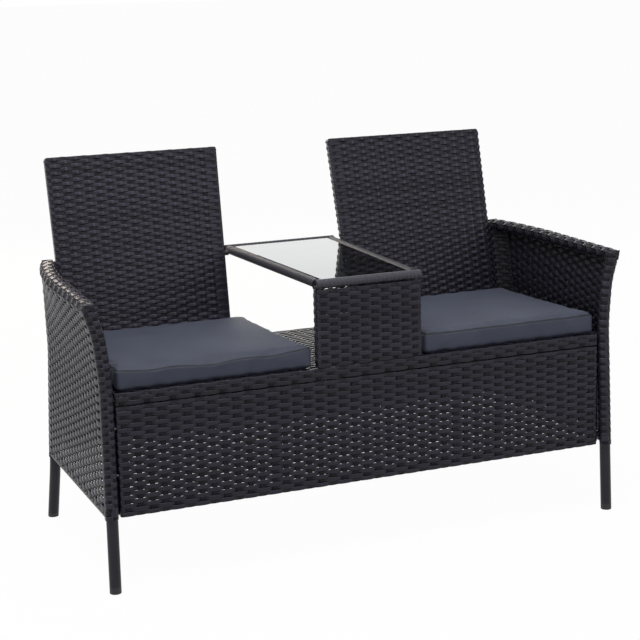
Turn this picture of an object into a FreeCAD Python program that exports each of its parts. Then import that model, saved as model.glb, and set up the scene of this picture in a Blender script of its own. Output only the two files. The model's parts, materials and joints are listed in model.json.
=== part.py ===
import FreeCAD, Part
import math
import os
import Sketcher

# Two-seat woven patio bench with a small glass-topped table between the seats.
# +X is the right-hand side seen from the front, the front faces -Y, +Z is up.
# The origin is on the floor, in the middle of the bench's plan. Sizes are in mm.
# Pieces of the right-hand end are drawn, and those of the left-hand end mirror them.

Vector = FreeCAD.Vector
nodes = {}

doc = FreeCAD.newDocument("companion_bench")
sheet = doc.addObject("Spreadsheet::Sheet", "dims")

drivingSizes = {
    # whole bench
    "overallWidth": 1270.0,
    "overallDepth": 603.0,
    "backTopZ": 858.2,
    # end frames: 25 mm steel tube, flat strand wrapped over it
    "legRadius": 12.5,
    "tubeWall": 1.2,
    "wrapThick": 1.5,
    "capHeight": 14.0,
    "footX": 598.5,
    "seatLegX": 592.0,
    "frontLean": 19.0,
    "kneeZ": 450.0,
    "flareX": 601.0,
    "flareZ": 545.0,
    "railX": 619.0,
    "railZ": 604.0,
    "railRise": 9.0,
    "padHalfWidth": 16.0,
    "padHalfHeight": 14.0,
    "rearFootX": 601.5,
    "rearFootY": 258.5,
    "rearKickX": 597.3,
    "rearKickY": 222.6,
    "rearKickZ": 132.0,
    "rearSeatX": 588.5,
    "rearSeatY": 196.0,
    "rearTopX": 582.5,
    "rearTopY": 240.0,
    # woven skins and the small tubes that carry them
    "skinThick": 3.0,
    "frameRadius": 8.0,
    "seatTubeRadius": 9.5,
    "smallTubeRadius": 9.0,
    "smallWall": 1.0,
    "wovenBottomZ": 158.5,
    # seat
    "seatFrontZ": 424.0,
    "seatFrontY": -281.7,
    "seatDepth": 452.0,
    "seatHalfWidth": 577.0,
    "seatEdge": 25.0,
    "seatSlope": 1.8,
    # skirt under the seat
    "skirtTopZ": 396.0,
    "panelDepth": 19.0,
    # apron between the rear legs
    "apronBottomZ": 176.0,
    "apronHeight": 202.0,
    "apronHalfWidth": 573.0,
    "apronSet": 8.0,
    # backs
    "recline": 13.53,
    "backTopY": 278.4,
    "backBottomZ": 412.5,
    "backThick": 25.0,
    "backInnerTop": 143.0,
    "backInnerFoot": 157.0,
    "backOuterTop": 567.0,
    "backOuterFoot": 566.0,
    "backCorner": 14.0,
    "backTabY": 179.5,
    "backTabZ": 384.0,
    # table
    "tableTopZ": 618.0,
    "tableFrontHalf": 125.0,
    "tableRearHalf": 144.5,
    "tableRearY": 267.0,
    "glassThick": 5.0,
    "glassDrop": 3.0,
    "glassGap": 1.5,
    "barWidth": 20.0,
    "barThick": 3.0,
    "padRadius": 6.0,
    "padHeight": 3.0,
    # cushions
    "cushionWidth": 446.0,
    "cushionDepth": 442.0,
    "cushionThick": 47.0,
    "cushionCrown": 7.0,
    "cushionWaist": 5.0,
    "cushionCorner": 26.0,
    "cushionInnerX": 128.5,
    "cushionFront": 3.0,
    # fasteners
    "boltRadius": 3.0,
    "headRadius": 5.5,
    "headHeight": 3.5,
    "nutRadius": 4.8,
    "nutLength": 10.0,
    "holeGap": 0.25,
}
for row, (alias, value) in enumerate(drivingSizes.items(), start=1):
    sheet.set(f"A{row}", alias)
    sheet.set(f"B{row}", str(value))
    sheet.setAlias(f"B{row}", alias)
doc.recompute()


def size(alias):
    """The number in the sheet's cell of that name."""
    return float(sheet.get(alias))


def keep(obj, name):
    """Hand an object over as the named piece of the bench."""
    obj.Label = name
    nodes[name] = obj
    return obj


def originPlane(body, role):
    """One of the body's own three base planes."""
    for plane in body.Origin.OriginFeatures:
        if plane.Role == role:
            return plane


def sketchOn(body, role, name):
    """An empty sketch on a base plane of the body."""
    sketch = body.newObject("Sketcher::SketchObject", name)
    sketch.AttachmentSupport = [(originPlane(body, role), "")]
    sketch.MapMode = "FlatFace"
    return sketch


def circle(sketch, formula, centre=Vector(0, 0, 0)):
    """A circle whose radius follows the formula."""
    index = sketch.addGeometry(Part.Circle(centre, Vector(0, 0, 1), 5.0))
    radius = sketch.addConstraint(Sketcher.Constraint("Radius", index, 5.0))
    sketch.setExpression(f"Constraints[{radius}]", formula)
    if centre.Length == 0:
        sketch.addConstraint(Sketcher.Constraint("Coincident", index, 3, -1, 1))
    else:
        sketch.addConstraint(Sketcher.Constraint("DistanceX", -1, 1, index, 3, centre.x))
        sketch.addConstraint(Sketcher.Constraint("DistanceY", -1, 1, index, 3, centre.y))
    return index


def polygon(sketch, corners):
    """A closed outline. Each corner is a pair of formulas, and both are bound to the sheet."""
    rough = []
    for acrossFormula, upFormula in corners:
        rough.append(Vector(evaluate(acrossFormula), evaluate(upFormula), 0))
    count = len(rough)
    for i in range(count):
        sketch.addGeometry(Part.LineSegment(rough[i], rough[(i + 1) % count]))
    for i in range(count):
        sketch.addConstraint(Sketcher.Constraint("Coincident", i, 2, (i + 1) % count, 1))
    for i, pair in enumerate(corners):
        for kind, formula, value in zip(("DistanceX", "DistanceY"), pair, rough[i]):
            index = sketch.addConstraint(Sketcher.Constraint(kind, -1, 1, i, 1, value))
            sketch.setExpression(f"Constraints[{index}]", formula)


def evaluate(formula):
    """The value that a sheet formula has now."""
    return float(sheet.evalExpression(formula))


def pad(body, sketch, formula, reverse=False):
    """A pad of the sketch, its length bound to the formula."""
    padded = body.newObject("PartDesign::Pad", "Pad")
    padded.Profile = sketch
    padded.setExpression("Length", formula)
    padded.Reversed = reverse
    return padded


def pocket(body, sketch, formula):
    """A pocket of the sketch, its depth bound to the formula."""
    emptied = body.newObject("PartDesign::Pocket", "Pocket")
    emptied.Profile = sketch
    emptied.setExpression("Length", formula)
    return emptied


def facing(origin, along):
    """A placement whose Z runs along the direction."""
    zAxis = Vector(along).normalize()
    across = Vector(0, 1, 0) if abs(zAxis.x) > 0.9 else Vector(1, 0, 0)
    yAxis = zAxis.cross(across).normalize()
    xAxis = yAxis.cross(zAxis)
    return FreeCAD.Placement(origin, FreeCAD.Rotation(xAxis, yAxis, zAxis, "ZXY"))


def straightTube(name, start, end, radiusFormula, wallFormula="dims.smallWall"):
    """A straight round tube between two points."""
    body = doc.addObject("PartDesign::Body", name)
    section = sketchOn(body, "XY_Plane", "Section")
    circle(section, radiusFormula)
    circle(section, f"{radiusFormula} - {wallFormula}")
    tube = body.newObject("PartDesign::Pad", "Tube")
    tube.Profile = section
    tube.Length = (end - start).Length
    body.Placement = facing(start, end - start)
    return body


def bentWire(points, radii):
    """Straight runs joined by tangent arcs, one radius for each inner point."""
    edges = []
    last = points[0]
    for i, radius in enumerate(radii, start=1):
        corner = points[i]
        inward = (points[i - 1] - corner).normalize()
        outward = (points[i + 1] - corner).normalize()
        half = inward.getAngle(outward) / 2
        run = radius / math.tan(half)
        middle = (inward + outward).normalize()
        apex = corner + middle * (radius / math.sin(half) - radius)
        start = corner + inward * run
        end = corner + outward * run
        edges.append(Part.LineSegment(last, start).toShape())
        edges.append(Part.Arc(start, apex, end).toShape())
        last = end
    edges.append(Part.LineSegment(last, points[-1]).toShape())
    return Part.Wire(edges)


def sweep(path, section):
    """A solid of the closed section carried along the path."""
    solid = path.makePipe(Part.Face(section))
    return solid if solid.Volume > 0 else solid.reversed()


def ring(path, radius):
    """A round section at the start of the path, square to it."""
    start = path.OrderedEdges[0]
    along = start.tangentAt(start.FirstParameter)
    return Part.Wire(Part.makeCircle(radius, start.valueAt(start.FirstParameter), along))


def feature(name, shape):
    """A document object for a shape that is worked out here."""
    obj = doc.addObject("Part::Feature", name)
    obj.Shape = shape
    return obj


def bentTube(name, path, outer, inner):
    """A bent round tube."""
    shape = sweep(path, ring(path, outer)).cut(sweep(path, ring(path, inner)))
    return feature(name, shape)


def mirrored(source, name):
    """The left-hand twin of a right-hand piece."""
    twin = doc.addObject("Part::Mirroring", name)
    twin.Source = source
    twin.Normal = Vector(1, 0, 0)
    twin.Base = Vector(0, 0, 0)
    return twin


def cutFrom(name, base, tool):
    """The base with the tool taken away."""
    result = doc.addObject("Part::Cut", name)
    result.Base = base
    result.Tool = tool
    return result


def group(name, shapes):
    """One piece that is a set of separate solids."""
    return feature(name, Part.makeCompound(shapes))


# Route of the end frame's tubes, right-hand side
frontFootY = -(size("overallDepth") / 2 - size("legRadius"))
legRadius = size("legRadius")
wrapRadius = legRadius + size("wrapThick")
skinThick = size("skinThick")


def frontLegY(z):
    """The front leg leans back evenly from the floor to the arm."""
    return frontFootY + size("frontLean") * z / size("railZ")


def between(low, high, z):
    """The point at height z on the line through two points."""
    return low + (high - low) * ((z - low.z) / (high.z - low.z))


frontFoot = Vector(size("footX"), frontFootY, 0)
frontKnee = Vector(size("seatLegX"), frontLegY(size("kneeZ")), size("kneeZ"))
frontFlare = Vector(size("flareX"), frontLegY(size("flareZ")), size("flareZ"))
frontCorner = Vector(size("railX"), frontLegY(size("railZ")), size("railZ"))
armStart = frontCorner + Vector(0, 42, 1)
armBend = Vector(size("railX") - 1, 30, size("railZ") + 5)
armTurn = Vector(size("railX") - 14, 150, size("railZ") + 7)
armEnd = Vector(size("rearTopX") + 1.5, size("rearTopY") - 7, size("railZ") + size("railRise"))
rearFoot = Vector(size("rearFootX"), size("rearFootY"), 0)
rearKick = Vector(size("rearKickX"), size("rearKickY"), size("rearKickZ"))
rearSeat = Vector(size("rearSeatX"), size("rearSeatY"), size("seatFrontZ"))
rearTop = Vector(size("rearTopX"), size("rearTopY"), size("railZ") + size("railRise") + 11)
cornerRadius = 28.0
kneeRadius = 500.0
flareRadius = 240.0
armCurveRadius = 600.0
kickRadius = 250.0
seatBendRadius = 150.0

legStart = between(frontFoot, frontKnee, size("capHeight"))
rearStart = between(rearFoot, rearKick, size("capHeight"))
frontPath = bentWire([legStart, frontKnee, frontFlare, frontCorner, armStart],
                     [kneeRadius, flareRadius, cornerRadius])
armPath = bentWire([armStart, armBend, armTurn, armEnd], [armCurveRadius, armCurveRadius])
rearPath = bentWire([rearStart, rearKick, rearSeat, rearTop], [kickRadius, seatBendRadius])

innerRadius = legRadius - size("tubeWall")
frontLegTube = bentTube("front_leg_tube", frontPath, legRadius, innerRadius)
rearLegTube = bentTube("rear_leg_tube", rearPath, legRadius, innerRadius)
armRailTube = bentTube("arm_rail_tube", armPath, legRadius, innerRadius)

# Foot caps: a turned plug in the tube's end, rounded below and flat where it stands
capInsert = 18.0
capRound = 5.0
capSpare = 3.0


def edgeNames(shape, test):
    """The names of the edges whose box passes the test."""
    names = []
    for i, edge in enumerate(shape.Edges, start=1):
        if test(edge.BoundBox, edge):
            names.append(f"Edge{i}")
    return names


def roundOff(body, base, names, radius):
    """A fillet on the named edges of the body's last feature."""
    fillet = body.newObject("PartDesign::Fillet", "Rounded")
    fillet.Base = (base, names)
    fillet.Radius = radius
    doc.recompute()
    return fillet


def footCap(name, foot, direction):
    """A plastic plug for a tube's end, cut level with the floor."""
    body = doc.addObject("PartDesign::Body", name + "_plug")
    profile = sketchOn(body, "XZ_Plane", "Profile")
    plugRadius = "dims.legRadius - dims.tubeWall - 0.2"
    plugTop = f"dims.capHeight + {capInsert}"
    polygon(profile, [("0", f"-{capSpare}"), ("dims.legRadius", f"-{capSpare}"),
                      ("dims.legRadius", "dims.capHeight"), (plugRadius, "dims.capHeight"),
                      (plugRadius, plugTop), ("0", plugTop)])
    turned = body.newObject("PartDesign::Revolution", "Turned")
    turned.Profile = profile
    turned.ReferenceAxis = (profile, ["V_Axis"])
    turned.Angle = 360.0
    doc.recompute()
    foot0 = edgeNames(turned.Shape, lambda box, edge: box.ZMax < -capSpare + 0.1 and edge.Length > 20)
    roundOff(body, turned, foot0, capRound)
    body.Placement = facing(foot, direction)
    room = doc.addObject("Part::Box", name + "_room")
    room.Length = room.Width = room.Height = 80.0
    room.Placement.Base = foot - Vector(40, 40, 0)
    cap = doc.addObject("Part::Common", name)
    cap.Base = body
    cap.Tool = room
    return cap


# Bolts and rivet nuts. Every fixing is a place, a direction, a length and where its nut sits.
fixings = {}


def fixing(kind, head, along, length, nutFrom, nutRadius):
    """Note one bolt: the underside of its head, its direction and length, and its nut."""
    fixings.setdefault(kind, []).append((head, Vector(along).normalize(), length, nutFrom, nutRadius))


def boltShape(head, along, length):
    """A round-headed bolt with a hexagon socket."""
    shank = Part.makeCylinder(size("boltRadius"), length, head, along)
    cap = Part.makeCylinder(size("headRadius"), size("headHeight"), head - along * size("headHeight"), along)
    socket = Part.makePolygon([FreeCAD.Rotation(Vector(0, 0, 1), 60 * k).multVec(Vector(2.3, 0, 0))
                               for k in range(7)])
    hollow = Part.Face(socket).extrude(Vector(0, 0, 2.0))
    hollow.Placement = facing(head - along * size("headHeight"), along)
    return cap.fuse(shank).removeSplitter().cut(hollow)


def nutShape(head, along, nutFrom, nutRadius):
    """A rivet nut or a threaded plug: a sleeve round the end of the bolt."""
    start = head + along * nutFrom
    sleeve = Part.makeCylinder(nutRadius, size("nutLength"), start, along)
    return sleeve.cut(Part.makeCylinder(size("boltRadius") + 0.2, size("nutLength"), start, along))


def holeTool(name, kinds):
    """The holes of some kinds of fixing, as one tool: wider at the nut and at the head."""
    shapes = []
    for kind in kinds:
        for head, along, length, nutFrom, nutRadius in fixings[kind]:
            clear = size("boltRadius") + size("holeGap")
            shapes.append(Part.makeCylinder(clear, nutFrom + 0.5, head - along * 0.5, along))
            nutRoom = nutRadius + size("holeGap") / 2
            nutStart = head + along * (nutFrom - 0.2)
            shapes.append(Part.makeCylinder(nutRoom, size("nutLength") + 0.4, nutStart, along))
            headRoom = size("headRadius") + size("holeGap")
            shapes.append(Part.makeCylinder(headRoom, size("headHeight") + 1, head, along * -1))
    return feature(name, Part.makeCompound(shapes))


def drilled(name, base, tool):
    """The base with the holes of a tool in it, kept as the named piece."""
    return keep(cutFrom(name, base, tool), name)


# End frames. A lower rail and a seat rail join the two legs.
lowerRailZ = size("wovenBottomZ") + size("frameRadius") + size("wrapThick")
lowerShift = legRadius - size("frameRadius")
endRailZ = 410.9
endRailDrop = 14.1


def onLeg(low, high, z, dx, dy):
    """A point beside a leg, at height z."""
    return between(low, high, z) + Vector(dx, dy, 0)


lowerFront = onLeg(frontFoot, frontKnee, lowerRailZ, lowerShift, legRadius - 1)
lowerRear = onLeg(rearKick, rearSeat, lowerRailZ, lowerShift, 1 - legRadius)
endFront = onLeg(frontFoot, frontKnee, endRailZ, 0, legRadius - 1)
endRear = onLeg(rearKick, rearSeat, endRailZ - endRailDrop, 0, 1 - legRadius)
legTool = feature("leg_tool", sweep(frontPath, ring(frontPath, legRadius)).fuse(
    sweep(rearPath, ring(rearPath, legRadius))))
lowerRailTube = straightTube("lower_rail_tube", lowerFront, lowerRear, "dims.frameRadius")
endRailTube = straightTube("end_rail_tube", endFront, endRear, "dims.seatTubeRadius")

# Strand wrapped round the legs and over the arm
wrapBore = legRadius + 0.1
wrapFoot = between(frontFoot, frontKnee, size("wovenBottomZ"))
rearWrapFoot = between(rearKick, rearSeat, size("wovenBottomZ"))
rearWrapTop = rearTop + (rearTop - rearSeat).normalize() * 1.5
frontWrapPath = bentWire([wrapFoot, frontKnee, frontFlare, frontCorner, armStart],
                         [kneeRadius, flareRadius, cornerRadius])
rearWrapPath = bentWire([rearWrapFoot, rearSeat, rearWrapTop], [seatBendRadius])


def ovalRing(path, halfWidth, halfHeight):
    """An oval section at the start of a path that runs along +Y."""
    start = path.OrderedEdges[0]
    origin = start.valueAt(start.FirstParameter)
    oval = Part.Ellipse(Vector(0, 0, 0), halfWidth, halfHeight).toShape()
    oval.Placement = facing(origin, start.tangentAt(start.FirstParameter))
    return Part.Wire(oval)


armSolid = sweep(armPath, ring(armPath, wrapBore))
rearWrapSolid = sweep(rearWrapPath, ring(rearWrapPath, wrapRadius))
armPadSolid = sweep(armPath, ovalRing(armPath, size("padHalfWidth"), size("padHalfHeight")))
railRoom = Part.makeCompound([
    Part.makeCylinder(size(radius) + 0.2, (end - start).Length, start, end - start)
    for radius, start, end in (("frameRadius", lowerFront, lowerRear),
                               ("seatTubeRadius", endFront, endRear))])
frontWrap = sweep(frontWrapPath, ring(frontWrapPath, wrapRadius)).cut(
    sweep(frontWrapPath, ring(frontWrapPath, wrapBore))).cut(railRoom)
rearWrap = rearWrapSolid.cut(sweep(rearWrapPath, ring(rearWrapPath, wrapBore))).cut(armSolid).cut(railRoom)
armWrap = armPadSolid.cut(armSolid).cut(rearWrapSolid)

# The woven sheet of an end leaves the legs straight below and flares with the arm above
sheetOuter = wrapRadius - 0.6
sheetStart = 9.8
bendShare = 0.6
flareStart = 430.0
topBulge = 21.0


def legAt(path, z):
    """The point of a leg's centre line at height z."""
    for edge in path.OrderedEdges:
        near, far = edge.FirstParameter, edge.LastParameter
        low, high = edge.valueAt(near).z, edge.valueAt(far).z
        if min(low, high) - 1e-6 <= z <= max(low, high) + 1e-6:
            for _ in range(40):
                middle = (near + far) / 2
                if (edge.valueAt(middle).z < z) == (low < high):
                    near = middle
                else:
                    far = middle
            return edge.valueAt((near + far) / 2)


def sheetSection(z):
    """The sheet's outline at height z: a straight run, then an arc in to the rear leg."""
    front = legAt(frontPath, z)
    rear = legAt(rearPath, z)
    flare = max(0.0, (z - flareStart) / (size("railZ") - flareStart)) ** 2
    rise = Vector(0, 0, size("railRise") * flare)
    sides = []
    for offset in (sheetOuter, sheetOuter - skinThick):
        a = Vector(front.x + offset, front.y + sheetStart, z)
        c = Vector(rear.x + offset, rear.y - sheetStart, z) + rise
        b = a + (c - a) * bendShare + Vector(topBulge * flare, 0, 0)
        arcMiddle = (b + c) / 2 + Vector(0.3 + 0.2 * topBulge * flare, 0, 0)
        sides.append((a, b, arcMiddle, c))
    (a1, b1, m1, c1), (a2, b2, m2, c2) = sides
    return Part.Wire([Part.LineSegment(a1, b1).toShape(), Part.Arc(b1, m1, c1).toShape(),
                      Part.LineSegment(c1, c2).toShape(), Part.Arc(c2, m2, b2).toShape(),
                      Part.LineSegment(b2, a2).toShape(), Part.LineSegment(a2, a1).toShape()])


sheetHeights = (lowerRailZ + 7.8, 300, flareStart, 480, 520, 555, frontCorner.z - 12)
wrapClear = wrapRadius + 0.3
legWrapTool = sweep(frontWrapPath, ring(frontWrapPath, wrapClear)).fuse(
    sweep(rearWrapPath, ring(rearWrapPath, wrapClear)))
padTool = sweep(armPath, ovalRing(armPath, size("padHalfWidth") + 0.3, size("padHalfHeight") + 0.3))
sheetSolid = Part.makeLoft([sheetSection(z) for z in sheetHeights], True, True)
sheetSolid = sheetSolid.cut(legWrapTool).cut(padTool)
lowerAlong = lowerRear - lowerFront
lowerWrap = Part.makeCylinder(size("frameRadius") + size("wrapThick"), lowerAlong.Length,
                              lowerFront, lowerAlong)
lowerWrap = lowerWrap.cut(Part.makeCylinder(size("frameRadius") + 0.1, lowerAlong.Length, lowerFront,
                                            lowerAlong))
lowerWrap = lowerWrap.cut(legWrapTool)

# Placement of the seat, the skirt and the backs
seatPlace = FreeCAD.Placement(Vector(0, size("seatFrontY"), size("seatFrontZ")),
                              FreeCAD.Rotation(Vector(1, 0, 0), -size("seatSlope")))
seatTubeDepth = skinThick + size("seatTubeRadius")
panelTubeDepth = skinThick + size("frameRadius")
slope = math.tan(math.radians(size("recline")))
backFootY = size("backTopY") - slope * (size("backTopZ") - size("backBottomZ"))
backLength = (size("backTopZ") - size("backBottomZ")) / math.cos(math.radians(size("recline")))
backPlace = FreeCAD.Placement(Vector(0, backFootY, size("backBottomZ")),
                              FreeCAD.Rotation(Vector(1, 0, 0), -size("recline")))


def onSeat(x, y, z):
    """A point of the sloping seat's own frame, in the bench's frame."""
    return seatPlace.multVec(Vector(x, y, z))


def onBack(x, y, z):
    """A point of the reclined back's own frame, in the bench's frame."""
    return backPlace.multVec(Vector(x, y, z))


# Fixings, right-hand side first and then their mirror images
def bothSides(kind, head, along, length, nutFrom, nutRadius=size("nutRadius")):
    """A bolt and its mirror image."""
    fixing(kind, head, along, length, nutFrom, nutRadius)
    fixing(kind, Vector(-head.x, head.y, head.z), Vector(-along.x, along.y, along.z), length, nutFrom,
           nutRadius)


def backInner(z):
    """The back's inner edge at a distance up its slope."""
    return size("backInnerFoot") + (size("backInnerTop") - size("backInnerFoot")) * z / backLength


def backOuter(z):
    """The back's outer edge at a distance up its slope."""
    return size("backOuterFoot") + (size("backOuterTop") - size("backOuterFoot")) * z / backLength


outward = Vector(1, 0, 0)
endRailX = size("seatHalfWidth") - seatTubeDepth
for depth in (70.0, 380.0):
    start = onSeat(endRailX - size("seatTubeRadius"), depth, -seatTubeDepth)
    bothSides("side_bolts", start, outward, 38.0, 28.4)

skirtStileX = size("seatHalfWidth") - panelTubeDepth
midStileX = 217.0
skirtBoltY = size("seatFrontY") + 6.7
for height in (250.0, 350.0):
    bothSides("skirt_bolts", Vector(skirtStileX - 7.5, skirtBoltY, height), outward, 36.0, 25.5)

apronFoot = between(rearKick, rearSeat, size("apronBottomZ"))
apronLean = math.degrees(math.atan2(rearKick.y - rearSeat.y, rearSeat.z - rearKick.z))
apronPlace = FreeCAD.Placement(Vector(0, apronFoot.y + size("apronSet"), size("apronBottomZ")),
                               FreeCAD.Rotation(Vector(1, 0, 0), apronLean))
apronStileX = size("apronHalfWidth") - panelTubeDepth


def onApron(x, y, z):
    """A point of the leaning rear apron's own frame, in the bench's frame."""
    return apronPlace.multVec(Vector(x, y, z))


for up in (50.0, 150.0):
    bothSides("apron_bolts", onApron(apronStileX - 7.5, -panelTubeDepth, up), outward, 38.0, 27.5)

stileDepth = size("backThick") / 2
stileInset = skinThick + size("smallTubeRadius") + 0.3
rearRail = onSeat(0, size("seatDepth") - seatTubeDepth, -seatTubeDepth)
for stileX in (backInner(0) + stileInset, backOuter(0) - stileInset):
    start = Vector(stileX, size("backTabY") + 8.6, rearRail.z)
    bothSides("back_bolts", start, Vector(0, -1, 0), 36.0, 24.6)

tieZ = 555.0
tieLeg = legAt(rearPath, tieZ)
tieY = tieLeg.y - 4
bothSides("tie_bolts", Vector(tieLeg.x + 11.9, tieY, tieZ), -outward, 48.0, 34.5)

tableRailRadius = size("smallTubeRadius") + size("wrapThick")
tableRailZ = size("tableTopZ") - tableRailRadius
tableFrontY = size("seatFrontY") + tableRailRadius
tableRearY = size("tableRearY") - tableRailRadius
tableFrontX = size("tableFrontHalf") - tableRailRadius
tableRearX = size("tableRearHalf") - tableRailRadius


def tableSideX(y):
    """The centre of the table's side rail at a depth y."""
    return tableFrontX + (tableRearX - tableFrontX) * (y - tableFrontY) / (tableRearY - tableFrontY)


hangY = 229.0
hangZ = tableRailZ - 4.0
hangHead = Vector(tableSideX(hangY) - 8.1, hangY, hangZ)
bothSides("table_bolts", hangHead, outward, 40.0, 29.8)

uprightX = size("tableFrontHalf") - panelTubeDepth
uprightY = size("seatFrontY") + panelTubeDepth
uprightFoot = size("seatFrontZ") + 0.6
panelBoltZ = onSeat(0, seatTubeDepth, -seatTubeDepth).z - size("seatTubeRadius") + 0.1
plugRadius = size("frameRadius") - size("smallWall") - 0.1
bothSides("panel_bolts", Vector(uprightX, uprightY, panelBoltZ), Vector(0, 0, 1), 34.0, 23.2, plugRadius)

# End frames, each piece drilled where a bolt crosses it
drilled("right_front_leg", frontLegTube, holeTool("front_leg_holes", ["skirt_bolts"]))
drilled("right_rear_leg", rearLegTube, holeTool("rear_leg_holes", ["tie_bolts", "apron_bolts"]))
keep(cutFrom("right_arm_rail", armRailTube, legTool), "right_arm_rail")
keep(cutFrom("right_lower_rail", lowerRailTube, legTool), "right_lower_rail")
coped = cutFrom("end_rail_coped", endRailTube, legTool)
drilled("right_end_rail", coped, holeTool("end_rail_holes", ["side_bolts"]))
legWraps = group("leg_wraps_whole", [frontWrap, rearWrap])
wrapHoles = holeTool("leg_wrap_holes", ["skirt_bolts", "tie_bolts", "apron_bolts"])
drilled("right_leg_wraps", legWraps, wrapHoles)
keep(feature("right_arm_wrap", armWrap), "right_arm_wrap")
keep(group("right_side_weave", [sheetSolid, lowerWrap]), "right_side_weave")
keep(footCap("right_front_cap", frontFoot, frontKnee - frontFoot), "right_front_cap")
keep(footCap("right_rear_cap", rearFoot, rearKick - rearFoot), "right_rear_cap")


# Woven trays: a skin with turned-down edges, hollow behind where the tubes lie
def tray(name, corners, inset, depthFormula, plane, rounding, behind=False):
    """A woven panel with its rim. The skin lies in the base plane, and the hollow is behind it."""
    body = doc.addObject("PartDesign::Body", name + "_tray")
    outline = sketchOn(body, plane, "Outline")
    polygon(outline, corners)
    solid = pad(body, outline, depthFormula, reverse=not behind)
    doc.recompute()
    skinSide = edgeNames(solid.Shape, lambda box, edge: onFace(box, plane))
    roundOff(body, solid, skinSide, rounding)
    hollow = sketchOn(body, plane, "Hollow")
    hollow.setExpression("AttachmentOffset.Base.z", "dims.skinThick" if behind else "-dims.skinThick")
    polygon(hollow, inset)
    emptied = pocket(body, hollow, depthFormula)
    emptied.Reversed = behind
    doc.recompute()
    return body


def onFace(box, plane):
    """Whether an edge lies in the sketch's own plane, which is the tray's outer face."""
    low, high = (box.YMin, box.YMax) if plane == "XZ_Plane" else (box.ZMin, box.ZMax)
    return abs(low) < 0.01 and abs(high) < 0.01


def box4(left, right, low, high):
    """The four corners of an upright rectangle, as formulas."""
    return [(left, low), (right, low), (right, high), (left, high)]


half, skin = "dims.seatHalfWidth", "dims.skinThick"
seatTray = tray("seat", box4(f"-{half}", half, "0", "dims.seatDepth"),
                box4(f"-{half} + {skin}", f"{half} - {skin}", skin, f"dims.seatDepth - {skin}"),
                "dims.seatEdge", "XY_Plane", 6.0)
seatTray.Placement = seatPlace
drilled("seat_weave", seatTray, holeTool("seat_weave_holes", ["side_bolts", "back_bolts", "panel_bolts"]))

skirtTray = tray("skirt", box4(f"-{half}", half, "dims.wovenBottomZ", "dims.skirtTopZ"),
                 box4(f"-{half} + {skin}", f"{half} - {skin}", f"dims.wovenBottomZ + {skin}",
                      f"dims.skirtTopZ - {skin}"),
                 "dims.panelDepth", "XZ_Plane", 5.0)
skirtTray.Placement.Base = Vector(0, size("seatFrontY"), 0)
drilled("skirt_weave", skirtTray, holeTool("skirt_weave_holes", ["skirt_bolts"]))

# Seat frame
tubeEnd = size("seatHalfWidth") - skinThick - 0.1
rearRailDepth = size("seatDepth") - seatTubeDepth
crossBarX = (-350.0, -130.0, 130.0, 350.0)
for name, depth, kinds in (("seat_front_rail", seatTubeDepth, ["panel_bolts"]),
                           ("seat_rear_rail", rearRailDepth, ["back_bolts"])):
    tube = straightTube(name + "_tube", onSeat(-tubeEnd, depth, -seatTubeDepth),
                        onSeat(tubeEnd, depth, -seatTubeDepth), "dims.seatTubeRadius")
    drilled(name, tube, holeTool(name + "_holes", kinds))


def tubeShape(start, end, radius, wall):
    """A straight round tube as a bare shape, for pieces that are a set of tubes."""
    along = end - start
    return Part.makeCylinder(radius, along.Length, start, along).cut(
        Part.makeCylinder(radius - wall, along.Length, start, along))


seatRadius = size("seatTubeRadius")
railGap = seatTubeDepth + seatRadius + 0.1
endRails = [tubeShape(onSeat(side * endRailX, railGap, -seatTubeDepth),
                      onSeat(side * endRailX, size("seatDepth") - railGap, -seatTubeDepth),
                      seatRadius, size("smallWall")) for side in (-1, 1)]
drilled("seat_end_rails", group("seat_end_rail_tubes", endRails), holeTool("seat_end_holes", ["side_bolts"]))
barDepth = skinThick + size("frameRadius") + 0.1
keep(group("seat_cross_bars", [tubeShape(onSeat(x, railGap, -barDepth),
                                         onSeat(x, size("seatDepth") - railGap, -barDepth),
                                         size("frameRadius"), size("smallWall")) for x in crossBarX]),
     "seat_cross_bars")

# Skirt frame
skirtTubeY = size("seatFrontY") + panelTubeDepth
frameRadius = size("frameRadius")
skirtRails = {"skirt_top_rail": size("skirtTopZ") - panelTubeDepth,
              "skirt_bottom_rail": size("wovenBottomZ") + panelTubeDepth}
for name, height in skirtRails.items():
    keep(straightTube(name, Vector(-tubeEnd, skirtTubeY, height), Vector(tubeEnd, skirtTubeY, height),
                      "dims.frameRadius"), name)
stileLow = skirtRails["skirt_bottom_rail"] + frameRadius + 0.1
stileHigh = skirtRails["skirt_top_rail"] - frameRadius - 0.1
skirtStiles = [tubeShape(Vector(x, skirtTubeY, stileLow), Vector(x, skirtTubeY, stileHigh), frameRadius,
                         size("smallWall")) for x in (-skirtStileX, -midStileX, midStileX, skirtStileX)]
skirtStileHoles = holeTool("skirt_stile_holes", ["skirt_bolts"])
drilled("skirt_stiles", group("skirt_stile_tubes", skirtStiles), skirtStileHoles)

# Rear apron: the same kind of panel between the rear legs, leaning with them, woven on its rear face
apronBody = tray("apron", box4("-dims.apronHalfWidth", "dims.apronHalfWidth", "0", "dims.apronHeight"),
                 box4(f"-dims.apronHalfWidth + {skin}", f"dims.apronHalfWidth - {skin}", skin,
                      f"dims.apronHeight - {skin}"),
                 "dims.panelDepth", "XZ_Plane", 5.0, behind=True)
apronBody.Placement = apronPlace
drilled("apron_weave", apronBody, holeTool("apron_weave_holes", ["apron_bolts"]))
apronEnd = size("apronHalfWidth") - skinThick - 0.1
apronTubes = {"apron_top_rail": size("apronHeight") - panelTubeDepth, "apron_bottom_rail": panelTubeDepth}
for name, up in apronTubes.items():
    keep(straightTube(name, onApron(-apronEnd, -panelTubeDepth, up), onApron(apronEnd, -panelTubeDepth, up),
                      "dims.frameRadius"), name)
apronLow = apronTubes["apron_bottom_rail"] + frameRadius + 0.1
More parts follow.
